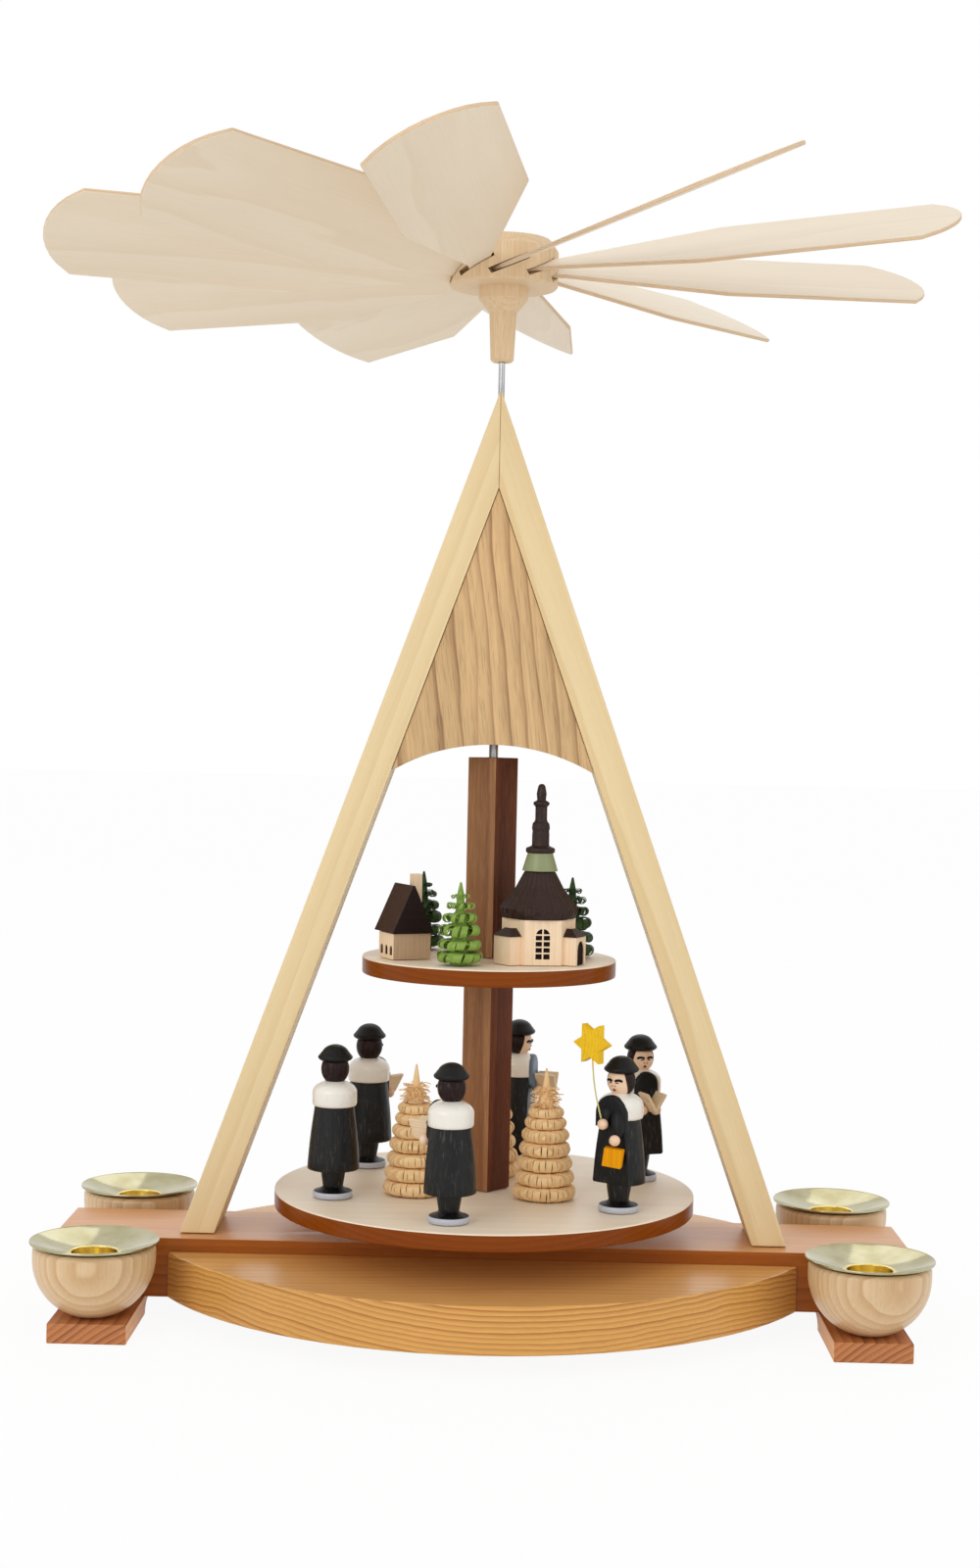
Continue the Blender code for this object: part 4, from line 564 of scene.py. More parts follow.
def dressStand():
    for seed, node in enumerate(("left_foot_bar", "right_foot_bar")):
        own = along((0, 1, 0), middle(node))
        dressNode(node, ["larch", "larchPaintedLight"], own, paintPlank, 1.3 * seed, stand.barEdge)
    dressNode("base_plank", ["plankPine", "plankSide"], None, paintPlank, 2.1, stand.plankEdge)
    for seed, node in enumerate(("front_base_segment", "rear_base_segment")):
        own = Matrix.Translation(middle(node)) @ spin(stand.stepTilt, "Y")
        dressNode(node, ["amberPine", "amberEdge"], own, paintStep, 3.0 + seed, stand.stepEdge, 40)
    for side, node in ((1, "left_frame_leg"), (-1, "right_frame_leg")):
        own = along((side * stand.legRun, 0, stand.legRise), middle(node))
        dressNode(node, ["limeWood"], own, None, 4.0 + side, stand.legEdge, mend=closeMitre)
    for seed, node in enumerate(("front_gable_panel", "rear_gable_panel")):
        own = along((stand.panelLean, 0, 1), middle(node))
        dressNode(node, ["ashPanel"], own, seed=5.2 + seed, edge=stand.panelEdge)


dressStand()
print("stand dressed")


# Candle cups and wax plates
cup = Values(
    radius=0.0208, height=0.0238, belly=0.0194, bellyCurve=0.0205, mouth=0.0196,
    floor=0.0094, bore=0.0086, lipDrop=0.0013, edge=0.0007, turn=9, steps=72,
)
plate = Values(
    slope=0.325, radius=0.0219, thickness=0.0006, bead=0.0005, socket=0.0077,
    wall=0.0006, depth=0.0113, lip=0.0006, gap=0.0003, bow=0.0004, edge=0.00018,
    steps=96,
)


def cupProfile():
    drop = plate.slope * (cup.mouth - cup.bore)
    profile = [(0, cup.floor), (cup.bore, cup.floor), (cup.bore, cup.height - drop)]
    profile += [(cup.mouth, cup.height), (cup.radius, cup.height - cup.lipDrop)]
    lowest = math.degrees(math.asin(cup.belly / cup.bellyCurve))
    return profile + ellipse((0, cup.belly), (cup.radius, cup.bellyCurve), 0, -lowest, 13) + [(0, 0)]


def plateProfile():
    top = cup.height + plate.gap + plate.thickness
    inner = plate.socket + plate.wall
    edge = plate.radius - plate.bead
    lip = top - plate.slope * (cup.mouth - inner - plate.lip)
    rim = top - plate.slope * (cup.mouth - edge)
    floor = lip - plate.depth
    dish = []
    for step in range(9):
        share = step / 8
        radius = inner + plate.lip + share * (edge - inner - plate.lip)
        dish.append((radius, lip + share * (rim - lip) - plate.bow * math.sin(math.pi * share)))
    under = [(radius, height - plate.thickness) for radius, height in reversed(dish)]
    profile = [(0, floor), (plate.socket, floor), (plate.socket, lip), (inner, lip + plate.lip / 2)]
    profile += dish + [(edge + plate.bead / 2, rim + plate.bead / 2), (plate.radius, rim)]
    profile += [(plate.radius, rim - plate.thickness)] + under
    return profile + [(inner, floor - plate.wall), (0, floor - plate.wall)]


def makeCandlePlaces():
    turned = softened(cupProfile(), cup.edge)
    dished = softened(plateProfile(), plate.edge)
    for seed, corner in enumerate(("front_left", "front_right", "rear_left", "rear_right")):
        foot = Matrix.Translation(footOf("candle_cup_" + corner))
        # the grain stands upright in a cup
        own = along((0, 0, 1), foot.translation, math.radians(cup.turn * seed))
        mesh = turnedMesh(turned, cup.steps)
        mesh.transform(own.inverted() @ foot)
        addPiece("cup_" + corner, "candle_cup_" + corner, mesh, ["turnedAsh"], own, 0.21 * seed)
        mesh = turnedMesh(dished, plate.steps, paintPlate)
        looks = ["plateBrass", "socketBrass"]
        addPiece("plate_" + corner, "wax_plate_" + corner, mesh, looks, foot, 0.4 * seed, smooth=50)


def paintPlate(centre):
    return 1 if math.hypot(centre.x, centre.y) < plate.socket + plate.wall + 2 * plate.lip else 0


makeCandlePlaces()
print("candle cups and wax plates made")


# Spindle, bearing, bush, discs and posts
turning = Values(
    postTurn=-38, postEdge=0.0004, edge=0.0005, discSteps=128, discHalf=0.00299, faceStep=0.0004,
    bushSteps=40, bushEdge=0.0002,
    bores={"lower_disc": 0.00195, "upper_disc": 0.00195, "apex_guide_bush": 0.00145},
)


def roundNode(node, looks, steps, edge, paint=None, seed=0.0):
    # a plain round disc or ring in the place and size of its solid
    low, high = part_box(node)
    radius, half = (high[0] - low[0]) / 2, (high[2] - low[2]) / 2
    bore = turning.bores[node]
    start = [((bore + radius) / 2, half)]
    profile = start + [(radius, half), (radius, -half), (bore, -half), (bore, half)] + start
    mesh = turnedMesh(softened(profile, edge), steps, paint)
    weldSeam(mesh)
    addPiece(node + "_turned", node, mesh, looks, Matrix.Translation(middle(node)), seed)


def weldSeam(mesh):
    shape = bmesh.new()
    shape.from_mesh(mesh)
    bmesh.ops.remove_doubles(shape, verts=shape.verts, dist=0.000001)
    bmesh.ops.recalc_face_normals(shape, faces=shape.faces)
    shape.to_mesh(mesh)
    shape.free()


def paintDisc(centre):
    # the veneer shows on top and below, and the stained edge between
    return 1 if -turning.discHalf < centre.z < turning.discHalf - turning.faceStep else 0


def paintPost(centre, normal):
    # two opposite sides, the right-front one among them, take a darker copy of the walnut: painted shade
    return 1 if abs(normal.z) > 0.7 else 0


def makeTurningParts():
    for seed, node in enumerate(("lower_disc", "upper_disc")):
        roundNode(node, ["discFace", "discEdge"], turning.discSteps, turning.edge, paintDisc, 6.3 + seed)
    roundNode("apex_guide_bush", ["bushBrass"], turning.bushSteps, turning.bushEdge)
    dressNode("bearing_cup", ["steel"], edge=0.0, smooth=30)
    dressNode("spindle", ["steel"], Matrix(), edge=0.0, smooth=30)
    for seed, node in enumerate(("lower_post", "upper_post")):
        own = along((0, 0, 1), middle(node), math.radians(turning.postTurn))
        dressNode(node, ["walnut", "walnutPaintedShade"], own, paintPost, 7.1 + 0.3 * seed, turning.postEdge)


makeTurningParts()
print("turning parts made")


# Impeller: the hub keeps its cut slots, the blades their hand-set places
impeller = Values(hubEdge=0.0002, bladeEdge=0.00045, blades=10)


def bladeFrame(node):
    mesh = nodes[node].data
    points = np.empty(len(mesh.vertices) * 3)
    mesh.vertices.foreach_get("co", points)
    points = np.unique(points.reshape(-1, 3).round(6), axis=0)
    centre = Vector(points.mean(0))
    axes = np.linalg.svd(points - points.mean(0))[2]
    run, face = Vector(axes[0]), Vector(axes[2])
    if run.dot(Vector((centre.x, centre.y, 0))) < 0:
        run.negate()
    if face.z < 0:
        face.negate()
    return Matrix.Translation(centre) @ Matrix((run, face.cross(run), face)).transposed().to_4x4()


def paintBlade(centre, normal):
    return 1 if abs(normal.z) < 0.5 else 0


def makeImpeller():
    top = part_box("impeller_hub")[1][2]
    own = along((0, 0, 1), (0, 0, top))
    dressNode("impeller_hub", ["turnedBeech"], own, None, 0, impeller.hubEdge, 28)
    looks = ["bladeBirch", "bladeEdge"]
    for number in range(1, impeller.blades + 1):
        node = f"blade_{number:02d}"
        own = bladeFrame(node)
        dressNode(node, looks, own, paintBlade, 0.173 * number, impeller.bladeEdge)


makeImpeller()
print("impeller dressed")


# Ring trees: every ring is made of thin chips that a chisel has raised from the turned cone
naturalTree = Values(
    height=0.0458, radius=0.0110, thickness=0.0005, spike=0.0014,
    # where the rings meet, as shares of the height from the foot up, and how far each ring reaches
    levels=(0, 0.107, 0.217, 0.325, 0.435, 0.535, 0.620, 0.697, 0.751, 0.802, 0.845),
    reaches=(1.0, 0.93, 0.86, 0.79, 0.73, 0.635, 0.55, 0.52, 0.50, 0.43),
    # rolled chips: height and depth of a roll (shares), its arc in degrees, and how far the slits cut in
    rolls=7, rollDeep=0.46, rollTall=0.44, rollArc=(150, -125), rollSteps=12, slit=0.20,
    # wisps: first angle and curl in degrees and length, each as its least value and its spread
    wispRise=(-12, 40), wispCurl=(-10, 80), wispLength=(0.7, 0.5), wispSteps=9, wispTaper=0.09,
    wispTightening=1.8, wispSpacing=2.3,
    chipWidth=0.0021, wispWidth=0.0004, trunk=0.72, crown=0.7, uneven=0.7,
    lean=0.0009, wispLean=0.0020,
)
greenTree = Values(
    height=0.0286, radius=0.0084, thickness=0.00026, trunk=0.0016,
    # each tier: highest and lowest point of its curls, reach (shares of height and radius), chip width, chips
    tiers=(
        (0.160, 0.020, 1.00, 0.0034, 12), (0.305, 0.175, 0.95, 0.0032, 11), (0.490, 0.330, 0.91, 0.0023, 11),
        (0.625, 0.505, 0.76, 0.0017, 10), (0.750, 0.670, 0.62, 0.0012, 10), (0.850, 0.805, 0.42, 0.0008, 8),
    ),
    slant=0.0019, uneven=0.14,
    # least turn of a curl and its spread in degrees, and how much tighter it grows
    curl=(330, 110), curlSteps=16, tightening=0.42,
)


def chipInto(shape, line, azimuth, widths, thickness, lean=0.0):
    # one chip: a thin strip along a line of (reach, height), turned to its azimuth
    out = Vector((math.cos(azimuth), math.sin(azimuth), 0))
    side = Vector((-math.sin(azimuth), math.cos(azimuth), 0))
    stations = []
    for index, (reach, height) in enumerate(line):
        before, after = line[max(index - 1, 0)], line[min(index + 1, len(line) - 1)]
        run = Vector((after[0] - before[0], after[1] - before[1])).normalized()
        face = out * -run.y + Vector((0, 0, run.x))
        centre = out * reach + Vector((0, 0, height)) + side * (lean * (2 * index / len(line) - 1))
        half = widths[index] / 2
        lift = face * (thickness / 2)
        corners = [side * -half - lift, side * half - lift, side * half + lift, side * -half + lift]
        stations.append([shape.verts.new(centre + corner) for corner in corners])
    skinInto(shape, stations)


def curlLine(start, rise, sweep, length, steps, tightening):
    # a line that sets off at an angle and curls over, faster and faster
    reach, height = start
    line = [start]
    for step in range(steps):
        angle = math.radians(rise - sweep * ((step + 0.5) / steps) ** tightening)
        reach += length / steps * math.cos(angle)
        height += length / steps * math.sin(angle)
        line.append((reach, height))
    return line


def naturalTreeMesh(chance):
    tree = naturalTree
    levels = [share * tree.height for share in tree.levels]
    reaches = [share * tree.radius for share in tree.reaches]
    profile = [(0, tree.height), (0.0003, tree.height - 0.0003), (tree.spike, levels[-1])]
    for tier in reversed(range(len(reaches))):
        inner = reaches[tier] * tree.trunk * (1 if tier < tree.rolls else tree.crown)
        profile.append((max(tree.spike, inner), levels[tier]))
    shape = bmesh.new()
    shape.from_mesh(turnedMesh(profile + [(0, 0)], 32, paintTrunk))
    for tier, reach in enumerate(reaches):
        deep = levels[tier + 1] - levels[tier]
        if tier < tree.rolls:
            rollInto(shape, reach, levels[tier], deep, chance)
        else:
            wispsInto(shape, reach, levels[tier], deep, chance)
    return meshFrom(shape)


def paintTrunk(centre):
    # the trunk below the rolls takes chipShade, a dark copy of the chip wood: painted shade in the cuts between the
    # chips; the tip above them does not
    return 1 if centre.z < naturalTree.levels[naturalTree.rolls] * naturalTree.height else 0


def rollInto(shape, reach, foot, deep, chance):
    # a ring of broad chips that have curled into one roll; some stand a little apart
    tree = naturalTree
    chips = round(math.tau * reach / tree.chipWidth)
    cuts = [chip + tree.uneven * (chance.random() - 0.5) for chip in range(chips)]
    start = chance.random() * math.tau
    for first, second in zip(cuts, cuts[1:] + [cuts[0] + chips]):
        azimuth = start + math.tau * (first + second) / 2 / chips
        wide = math.tau * reach * (second - first) / chips * (0.90 + 0.09 * chance.random())
        rough = 1 + 0.05 * (chance.random() - 0.5)
        bulge = tree.rollDeep * deep * rough
        centre = (reach * rough - bulge, foot + deep * (0.50 + 0.05 * (chance.random() - 0.5)))
        line = ellipse(centre, (bulge, tree.rollTall * deep), *tree.rollArc, tree.rollSteps)
        slit = tree.slit * chance.random() ** 2
        widths = [wide * (1 - slit * math.sin(math.pi * step / tree.rollSteps) ** 3) for step in range(len(line))]
        chipInto(shape, line, azimuth, widths, tree.thickness, tree.lean * (chance.random() - 0.5))


def wispsInto(shape, reach, foot, deep, chance):
    # the topmost rings are thin wisps that stand out from the trunk
    tree = naturalTree
    chips = round(math.tau * reach / tree.wispSpacing / tree.wispWidth)
    for chip in range(chips):
        azimuth = math.tau * (chip + 0.5 * chance.random()) / chips
        begin = (tree.spike * 0.8, foot + deep * chance.random())
        length, rise, curl = (low + spread * chance.random() for low, spread in
                              (tree.wispLength, tree.wispRise, tree.wispCurl))
        line = curlLine(begin, rise, curl, length * (reach - begin[0]), tree.wispSteps, tree.wispTightening)
        widths = [tree.wispWidth * (1.3 - tree.wispTaper * step) for step in range(len(line))]
        chipInto(shape, line, azimuth, widths, tree.thickness * 0.6, tree.wispLean * (chance.random() - 0.5))


def greenTreeMesh(chance):
    tree = greenTree
    height, radius = tree.height, tree.radius
    tiers = tree.tiers
    profile = [(0, height), (0.0004, height - 0.0004), (0.0012, tiers[-1][0] * height)]
    profile += [(tree.trunk, tiers[4][1] * height), (radius * 0.34, tiers[2][0] * height), (radius * 0.40, 0), (0, 0)]
    shape = bmesh.new()
    shape.from_mesh(turnedMesh(profile, 24))
    for number, (top, low, share, wide, chips) in enumerate(tiers):
        top, low, reach = top * height, low * height, share * radius
        inner = 0.0008 if number > 2 else 0.22 * radius
        start = chance.random() * math.tau
        for chip in range(chips):
            azimuth = start + math.tau * (chip + 0.45 * (chance.random() - 0.5)) / chips
            rough = 1 - tree.uneven * chance.random()
            bend = min((top - low) / 2, 0.42 * (reach - inner)) * (1 - tree.uneven * chance.random())
            edge = (reach * rough - bend, top - bend - 0.0005 * chance.random())
            line = [(inner, edge[1] + 0.25 * bend), (0.7 * inner + 0.3 * edge[0], edge[1] + 0.85 * bend)]
            sweep = tree.curl[0] + tree.curl[1] * chance.random()
            for step in range(tree.curlSteps + 1):
                angle = math.radians(90 - sweep * step / tree.curlSteps)
                tight = bend * (1 - tree.tightening * step / tree.curlSteps)
                line.append((edge[0] + tight * math.cos(angle), edge[1] + tight * math.sin(angle)))
            line = [(out, max(tree.thickness, level)) for out, level in line]
            widths = [wide * min(1, 0.55 + 0.15 * step) * (1 - 0.010 * step) for step in range(len(line))]
            chipInto(shape, line, azimuth, widths, tree.thickness, -tree.slant * share)
    return meshFrom(shape)


def makeTrees():
    chance = random.Random(27)
    for seed, where in enumerate(("left", "right", "rear")):
        node = "natural_tree_" + where
        own = Matrix.Translation(footOf(node))
        looks = ["naturalChips", "chipShade"]
        addPiece(node + "_curled", node, naturalTreeMesh(chance), looks, own, 8 + seed, smooth=50)
    for seed, where in enumerate(("front", "rear_left", "rear_right")):
        node = "green_tree_" + where
        looks = ["limeGreenChips" if where == "front" else "darkGreenChips"]
        own = Matrix.Translation(footOf(node))
        addPiece(node + "_curled", node, greenTreeMesh(chance), looks, own, 9 + seed, smooth=50)


makeTrees()
print("ring trees made")


# Houses and church
village = Values(
    houseTurn=26, houseWidth=0.0142, chimneyAcross=0.0045, chimneyBack=0.0014, chimneyReach=0.00177,
    chimneyFoot=0.004, farWall=0.0090, churchTurn=7, naveReach=0.01126, windowHalf=0.003, windowTop=0.014,
    porchTurn=-60, porchDepth=0.0047, porchHeight=0.0098, porchTop=0.0145, doorDepth=0.0008, doorTop=0.0085,
    recess=0.0002, slack=0.0002, edge=0.00012,
)
spire = Values(
    collar=0.0063, collarTop=0.00445, collarHeight=0.0062, height=0.0304, steps=48, edge=0.00035,
    shares=(
        (0.10, 1.000), (0.20, 0.975), (0.28, 0.890), (0.24, 0.812), (0.45, 0.790), (0.45, 0.762),
        (0.33, 0.740), (0.33, 0.590), (0.36, 0.570), (0.47, 0.545), (0.50, 0.487), (0.46, 0.460),
        (0.48, 0.418), (0.48, 0.290), (0.81, 0.262), (0.81, 0.215),
    ),
)
churchRoof = Values(
    radius=0.0140, lip=0.0033, height=0.0159, waist=0.0086, waistHeight=0.0100, top=0.0055,
    nave=0.0130, steps=6, ribs=30, ribSteps=8, ribRise=0.036, plain=0.985,
)


def houseFrame(node, turn):
    return Matrix.Translation(footOf(node)) @ spin(turn)


def paintHouseWalls(centre, normal):
    # the window recesses in the left wall are painted dark; the front-right and back-left walls take a darker copy of
    # the wall wood: painted shade
    if normal.x < -0.9 and centre.x > -village.houseWidth / 2 + village.recess:
        return 1
    return 2 if abs(normal.y) > 0.9 else 0


def paintHouseRoof(centre, normal):
    across = abs(centre.x - village.chimneyAcross) < village.chimneyReach
    back = abs(centre.y - village.chimneyBack) < village.chimneyReach
    upright = abs(normal.z) < 0.05 or normal.z > 0.95
    if across and back and upright and centre.z > village.chimneyFoot:
        return 1
    # the gable ends and the underside take a darker copy of the roof stain: painted shade
    return 2 if abs(normal.y) > 0.9 or normal.z < -0.5 else 0


def paintFarHouse(centre, normal):
    return 1 if centre.z > village.farWall - village.slack and abs(normal.x) + abs(normal.z) > 0.3 else 0


def paintChurchWalls(centre, normal):
    sloping = 0.08 < normal.z < 0.97 and centre.z < village.porchTop
    underside = normal.z < -0.9 and abs(centre.z - village.porchHeight) < village.slack
    front = normal.y < -0.9 and centre.y > -village.naveReach + village.recess
    window = front and abs(centre.x) < village.windowHalf and centre.z < village.windowTop
    depth, facing = (spin(village.porchTurn) @ centre).y, (spin(village.porchTurn) @ normal).y
    inset = -village.naveReach - village.porchDepth + village.recess
    door = facing < -0.9 and inset < depth < inset + village.doorDepth and centre.z < village.doorTop
    if sloping or underside:
        return 1
    return 2 if window or door else 0


def makeVillage():
    own = houseFrame("near_house_walls", village.houseTurn)
    dressNode("near_house_walls", ["wallMaple", "windowDark", "wallPaintedShade"], own, paintHouseWalls, 0.5, village.edge)
    lift = Matrix.Translation((0, 0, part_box("near_house_roof")[0][2] - own.translation.z))
    dressNode("near_house_roof", ["roofStain", "wallMaple", "roofPaintedShade"], own @ lift, paintHouseRoof, 0.7, village.edge)
    own = houseFrame("far_house", 90)
    dressNode("far_house", ["wallMaple", "roofStain"], own, paintFarHouse, 0.9, village.edge)
    own = houseFrame("church_roof", village.churchTurn)
    own.translation.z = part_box("church_walls")[0][2]
    looks = ["wallMaple", "churchStain", "windowDark"]
    dressNode("church_walls", looks, own, paintChurchWalls, 1.1, village.edge / 2)
    makeChurchRoof()
    makeSpire()


def makeChurchRoof():
    steps = churchRoof.steps
    spans = [
        (churchRoof.top, churchRoof.height), (churchRoof.waist, churchRoof.waistHeight),
        (churchRoof.radius, churchRoof.lip),
    ]
    profile = [(0, churchRoof.height), spans[0]]
    for (r0, z0), (r1, z1) in zip(spans, spans[1:]):
        for step in range(1, steps + 1):
            profile.append((r0 + (r1 - r0) * step / steps, z0 + (z1 - z0) * step / steps))
    profile += [(churchRoof.nave + 0.0001, 0.0001), (churchRoof.nave, 0), (0, 0)]

    def ribbed(angle, radius, height):
        crest = max(0.0, math.cos(angle * churchRoof.ribs)) ** 3
        share = 1 - churchRoof.ribRise + churchRoof.ribRise * crest
        return share if village.slack < height < churchRoof.height else churchRoof.plain

    mesh = turnedMesh(profile, churchRoof.ribs * churchRoof.ribSteps, None, ribbed)
    own = houseFrame("church_roof", village.churchTurn)
    addPiece("church_roof_ribbed", "church_roof", mesh, ["churchStain"], own, 1.4, smooth=40)


def makeSpire():
    profile = [(0, spire.height)]
    profile += [(radius * spire.collar, height * spire.height) for radius, height in spire.shares]
    profile += [(spire.collarTop, spire.collarHeight), (spire.collar, 0), (0, 0)]

    def paint(centre):
        return 1 if centre.z < spire.collarHeight else 0

    mesh = turnedMesh(softened(profile, spire.edge), spire.steps, paint)
    own = Matrix.Translation(footOf("church_spire"))
    addPiece("church_spire_turned", "church_spire", mesh, ["spireBrown", "collarGreen"], own, 1.6, smooth=45)


makeVillage()
print("village made")


# Carolers and the star bearer. Their own frames: +X is the way that they face, Z starts at the disc
singer = Values(
    baseRadius=0.0070, baseHeight=0.0021, shoe=0.0064, ankle=0.0035, ankleHeight=0.0037,
    leg=0.00435, hem=0.0098, coat=0.0091, chest=0.0068, capeHem=0.0320, cape=0.0078,
    shoulder=0.0366, neck=0.0029, neckHeight=0.0405, head=0.0048, headHeight=0.0449, headTall=1.16,
    brim=0.0061, brimHeight=0.0477, crown=0.0049, crownRise=0.0057,
    flat=0.0053, yokeWidth=0.0094, yokeLength=0.0112, yokeTop=0.0404, yokeFront=0.0066,
    yokeRounding=0.0010, shoulderForward=0.0044, shoulderSide=0.0024, sleeveTop=0.0352, sleeve=0.0020,
    sleeveRound=0.0014, sleeveTaper=0.18, cuffBehind=0.0020, cuffAbove=0.0015,
    hand=0.0019, handForward=0.0086, handSide=0.0027, handHeight=0.0268, steps=56,
)
hair = Values(
    # front edge at the top and how far it draws back, top and drop, all in degrees round the head
    front=46, widening=30, top=40, drop=94, lift=0.00012, thickness=0.0002, columns=28, rows=10,
)
face = Values(
    # start, run, height and arch in degrees round the head, lift, radius, steps, sides
    brow=(6, 33, 2, 4, 0.0001, 0.00044, 10, 8), lid=(9, 14, -5, 2, 0.00004, 0.00017, 5, 6),
    # place of the mouth and of two dots for the nose in degrees, and their radii
    spots=((0, -31, (0.00030, 0.00060, 0.00052)), (-7, -15, (0.00022,) * 3), (7, -15, (0.00022,) * 3)),
)
# name, heading in degrees, sleeve finish
singers = (
    ("caroler_front", 145, "sleeveBlack"), ("caroler_left", 100, "sleeveBlack"),
    ("caroler_rear_left", 50, "sleeveBlack"), ("caroler_rear", -15, "sleeveBlue"),
    ("caroler_right", -68, "sleeveBlack"), ("star_bearer", -127, "sleeveBlack"),
)
bearer = Values(
    starHand=(0.0086, -0.0014, 0.0306), lanternHand=(0.0096, 0.0043, 0.0258), yokeWidth=0.0126,
    sleeve=0.0026,
)


def bodyProfile():
    hem = singer.hem
    lap = 0.0005
    profile = [(0, singer.headHeight)]
    profile += [(singer.neck, singer.headHeight - 0.002), (singer.neck, singer.neckHeight + 0.0003)]
    span = (singer.cape - 0.0008, singer.neckHeight - singer.shoulder + 0.0004)
    profile += ellipse((0.0008, singer.shoulder), span, 72, 0, 9)
    profile += [(singer.cape, singer.capeHem + 0.0010), (singer.cape - 0.00025, singer.capeHem + 0.0002)]
    profile += [(singer.cape - 0.0007, singer.capeHem), (singer.chest + 0.0001, singer.capeHem + 0.0001)]
    for step in range(1, 8):
        share = step / 7
        bow = 0.00030 * math.sin(math.pi * share)
        height = singer.capeHem + share * (hem + lap - singer.capeHem)
        profile.append((singer.chest + share * (singer.coat - singer.chest) + bow, height))
    profile += [(singer.coat - 0.00015, hem + 0.00015), (singer.coat - lap, hem), (singer.leg, hem + 0.0002)]
    profile += [(singer.leg - 0.0002, hem - 0.002), (singer.ankle, singer.ankleHeight)]
    profile += [(singer.ankle + 0.0012, singer.ankleHeight - 0.0010), (singer.shoe, singer.baseHeight + 0.0002)]
    profile += [(singer.shoe + 0.0003, singer.baseHeight), (singer.baseRadius - 0.0002, singer.baseHeight)]
    profile += [(singer.baseRadius, singer.baseHeight - 0.0003), (singer.baseRadius, 0.0003)]
    return profile + [(singer.baseRadius - 0.0003, 0), (0, 0)]


def paintBody(centre):
    if centre.z > singer.neckHeight + 0.0002:
        return 0
    if centre.z > singer.capeHem + 0.00003:
        return 1
    return 2 if centre.z > singer.baseHeight + 0.00005 else 3


def hatProfile():
    # a low dome over a soft brim that droops all round
    base = singer.brimHeight
    brim = singer.brim
    profile = ellipse((0, base + 0.0019), (singer.crown, singer.crownRise - 0.0019), 90, 22, 9)
    for radius, height in ((0.0011, 0.0028), (0.0006, 0.0021), (0.0002, 0.0017), (0, 0.0012), (0.0002, 0.0007)):
        profile.append((brim - radius, base + height))
    return profile + [(brim - 0.0007, base + 0.0003), (singer.head, base), (0, base)]


def onHead(azimuth, elevation, lift=0.0):
    # a point on the egg-shaped head, lift above its surface
    a, e = math.radians(azimuth), math.radians(elevation)
    wide, tall = singer.head + lift, singer.head * singer.headTall + lift
    spot = (wide * math.cos(e) * math.cos(a), wide * math.cos(e) * math.sin(a), tall * math.sin(e))
    return Vector(spot) + Vector((0, 0, singer.headHeight))


def hairMesh():
    # painted hair round the back of the head and over the ears, down to the nape
    shape = bmesh.new()
    grid = []
    for row in range(hair.rows + 1):
        share = row / hair.rows
        front = hair.front + hair.widening * share ** 1.4
        ring = []
        for column in range(hair.columns + 1):
            azimuth = front + (360 - 2 * front) * column / hair.columns
            ring.append(shape.verts.new(onHead(azimuth, hair.top - hair.drop * share, hair.lift)))
        grid.append(ring)
    for upper, lower in zip(grid, grid[1:]):
        for column in range(hair.columns):
            shape.faces.new([upper[column], lower[column], lower[column + 1], upper[column + 1]])
    bmesh.ops.solidify(shape, geom=shape.faces[:], thickness=hair.thickness)
    return meshFrom(shape, True)


def faceMesh():
    # an arched brow over each closed eye
    shape = bmesh.new()
    for side in (-1, 1):
        for start, run, level, arch, lift, radius, steps, sides in (face.brow, face.lid):
            line = []
            for step in range(steps + 1):
                rise = arch * math.sin(math.pi * step / steps)
                line.append(onHead(side * (start + run * step / steps), level + rise, lift))
            tubeInto(shape, line, radius, sides)
    return meshFrom(shape, True)


def mouthMesh():
    # a small round mouth, and two dots for the nose
    marks = []
    for azimuth, elevation, radii in face.spots:
        mark = ballMesh(radii, 16, 10)
        turn = spin(azimuth) @ spin(-elevation, "Y")
        mark.transform(Matrix.Translation(onHead(azimuth, elevation)) @ turn)
        marks.append(mark)
    return joinMeshes(marks)


def cutFlat(mesh):
    # the coat's flat front, sawn off the turned body between hem and neck
    shape = bmesh.new()
    shape.from_mesh(mesh)
    low, high = singer.hem - 0.0001, singer.neckHeight + 0.0001
    coat = [face for face in shape.faces if all(low < vertex.co.z < high for vertex in face.verts)]
    parts = coat + list({edge for face in coat for edge in face.edges}) + list({v for face in coat for v in face.verts})
    bmesh.ops.bisect_plane(shape, geom=parts, dist=0.000001, plane_co=(singer.flat, 0, 0), plane_no=(1, 0, 0))
    for vertex in shape.verts:
        if low < vertex.co.z < high and vertex.co.x > singer.flat:
            vertex.co.x = singer.flat
    shape.to_mesh(mesh)
    shape.free()


def yokeMesh(wide):
    # both upper arms in one: an arched slab with a rounded front edge
    shape = bmesh.new()
    rounding = singer.yokeRounding
    layers = [(singer.flat - 0.0006, 0.0)]
    for step in range(6):
        angle = math.pi / 2 * step / 5
        layers.append((singer.yokeFront - rounding * (1 - math.sin(angle)), rounding * (1 - math.cos(angle))))
    rings = []
    for forward, inset in layers:
        half = wide / 2 - inset
        arch = ellipse((0, singer.yokeTop - wide / 2), (half, half), 0, 180, 16)
        foot = singer.yokeTop - singer.yokeLength + inset
        line = [(-half, foot), (half, foot)] + arch
        rings.append([shape.verts.new((forward, across, height)) for across, height in line])
    skinInto(shape, rings)
    return meshFrom(shape, True)


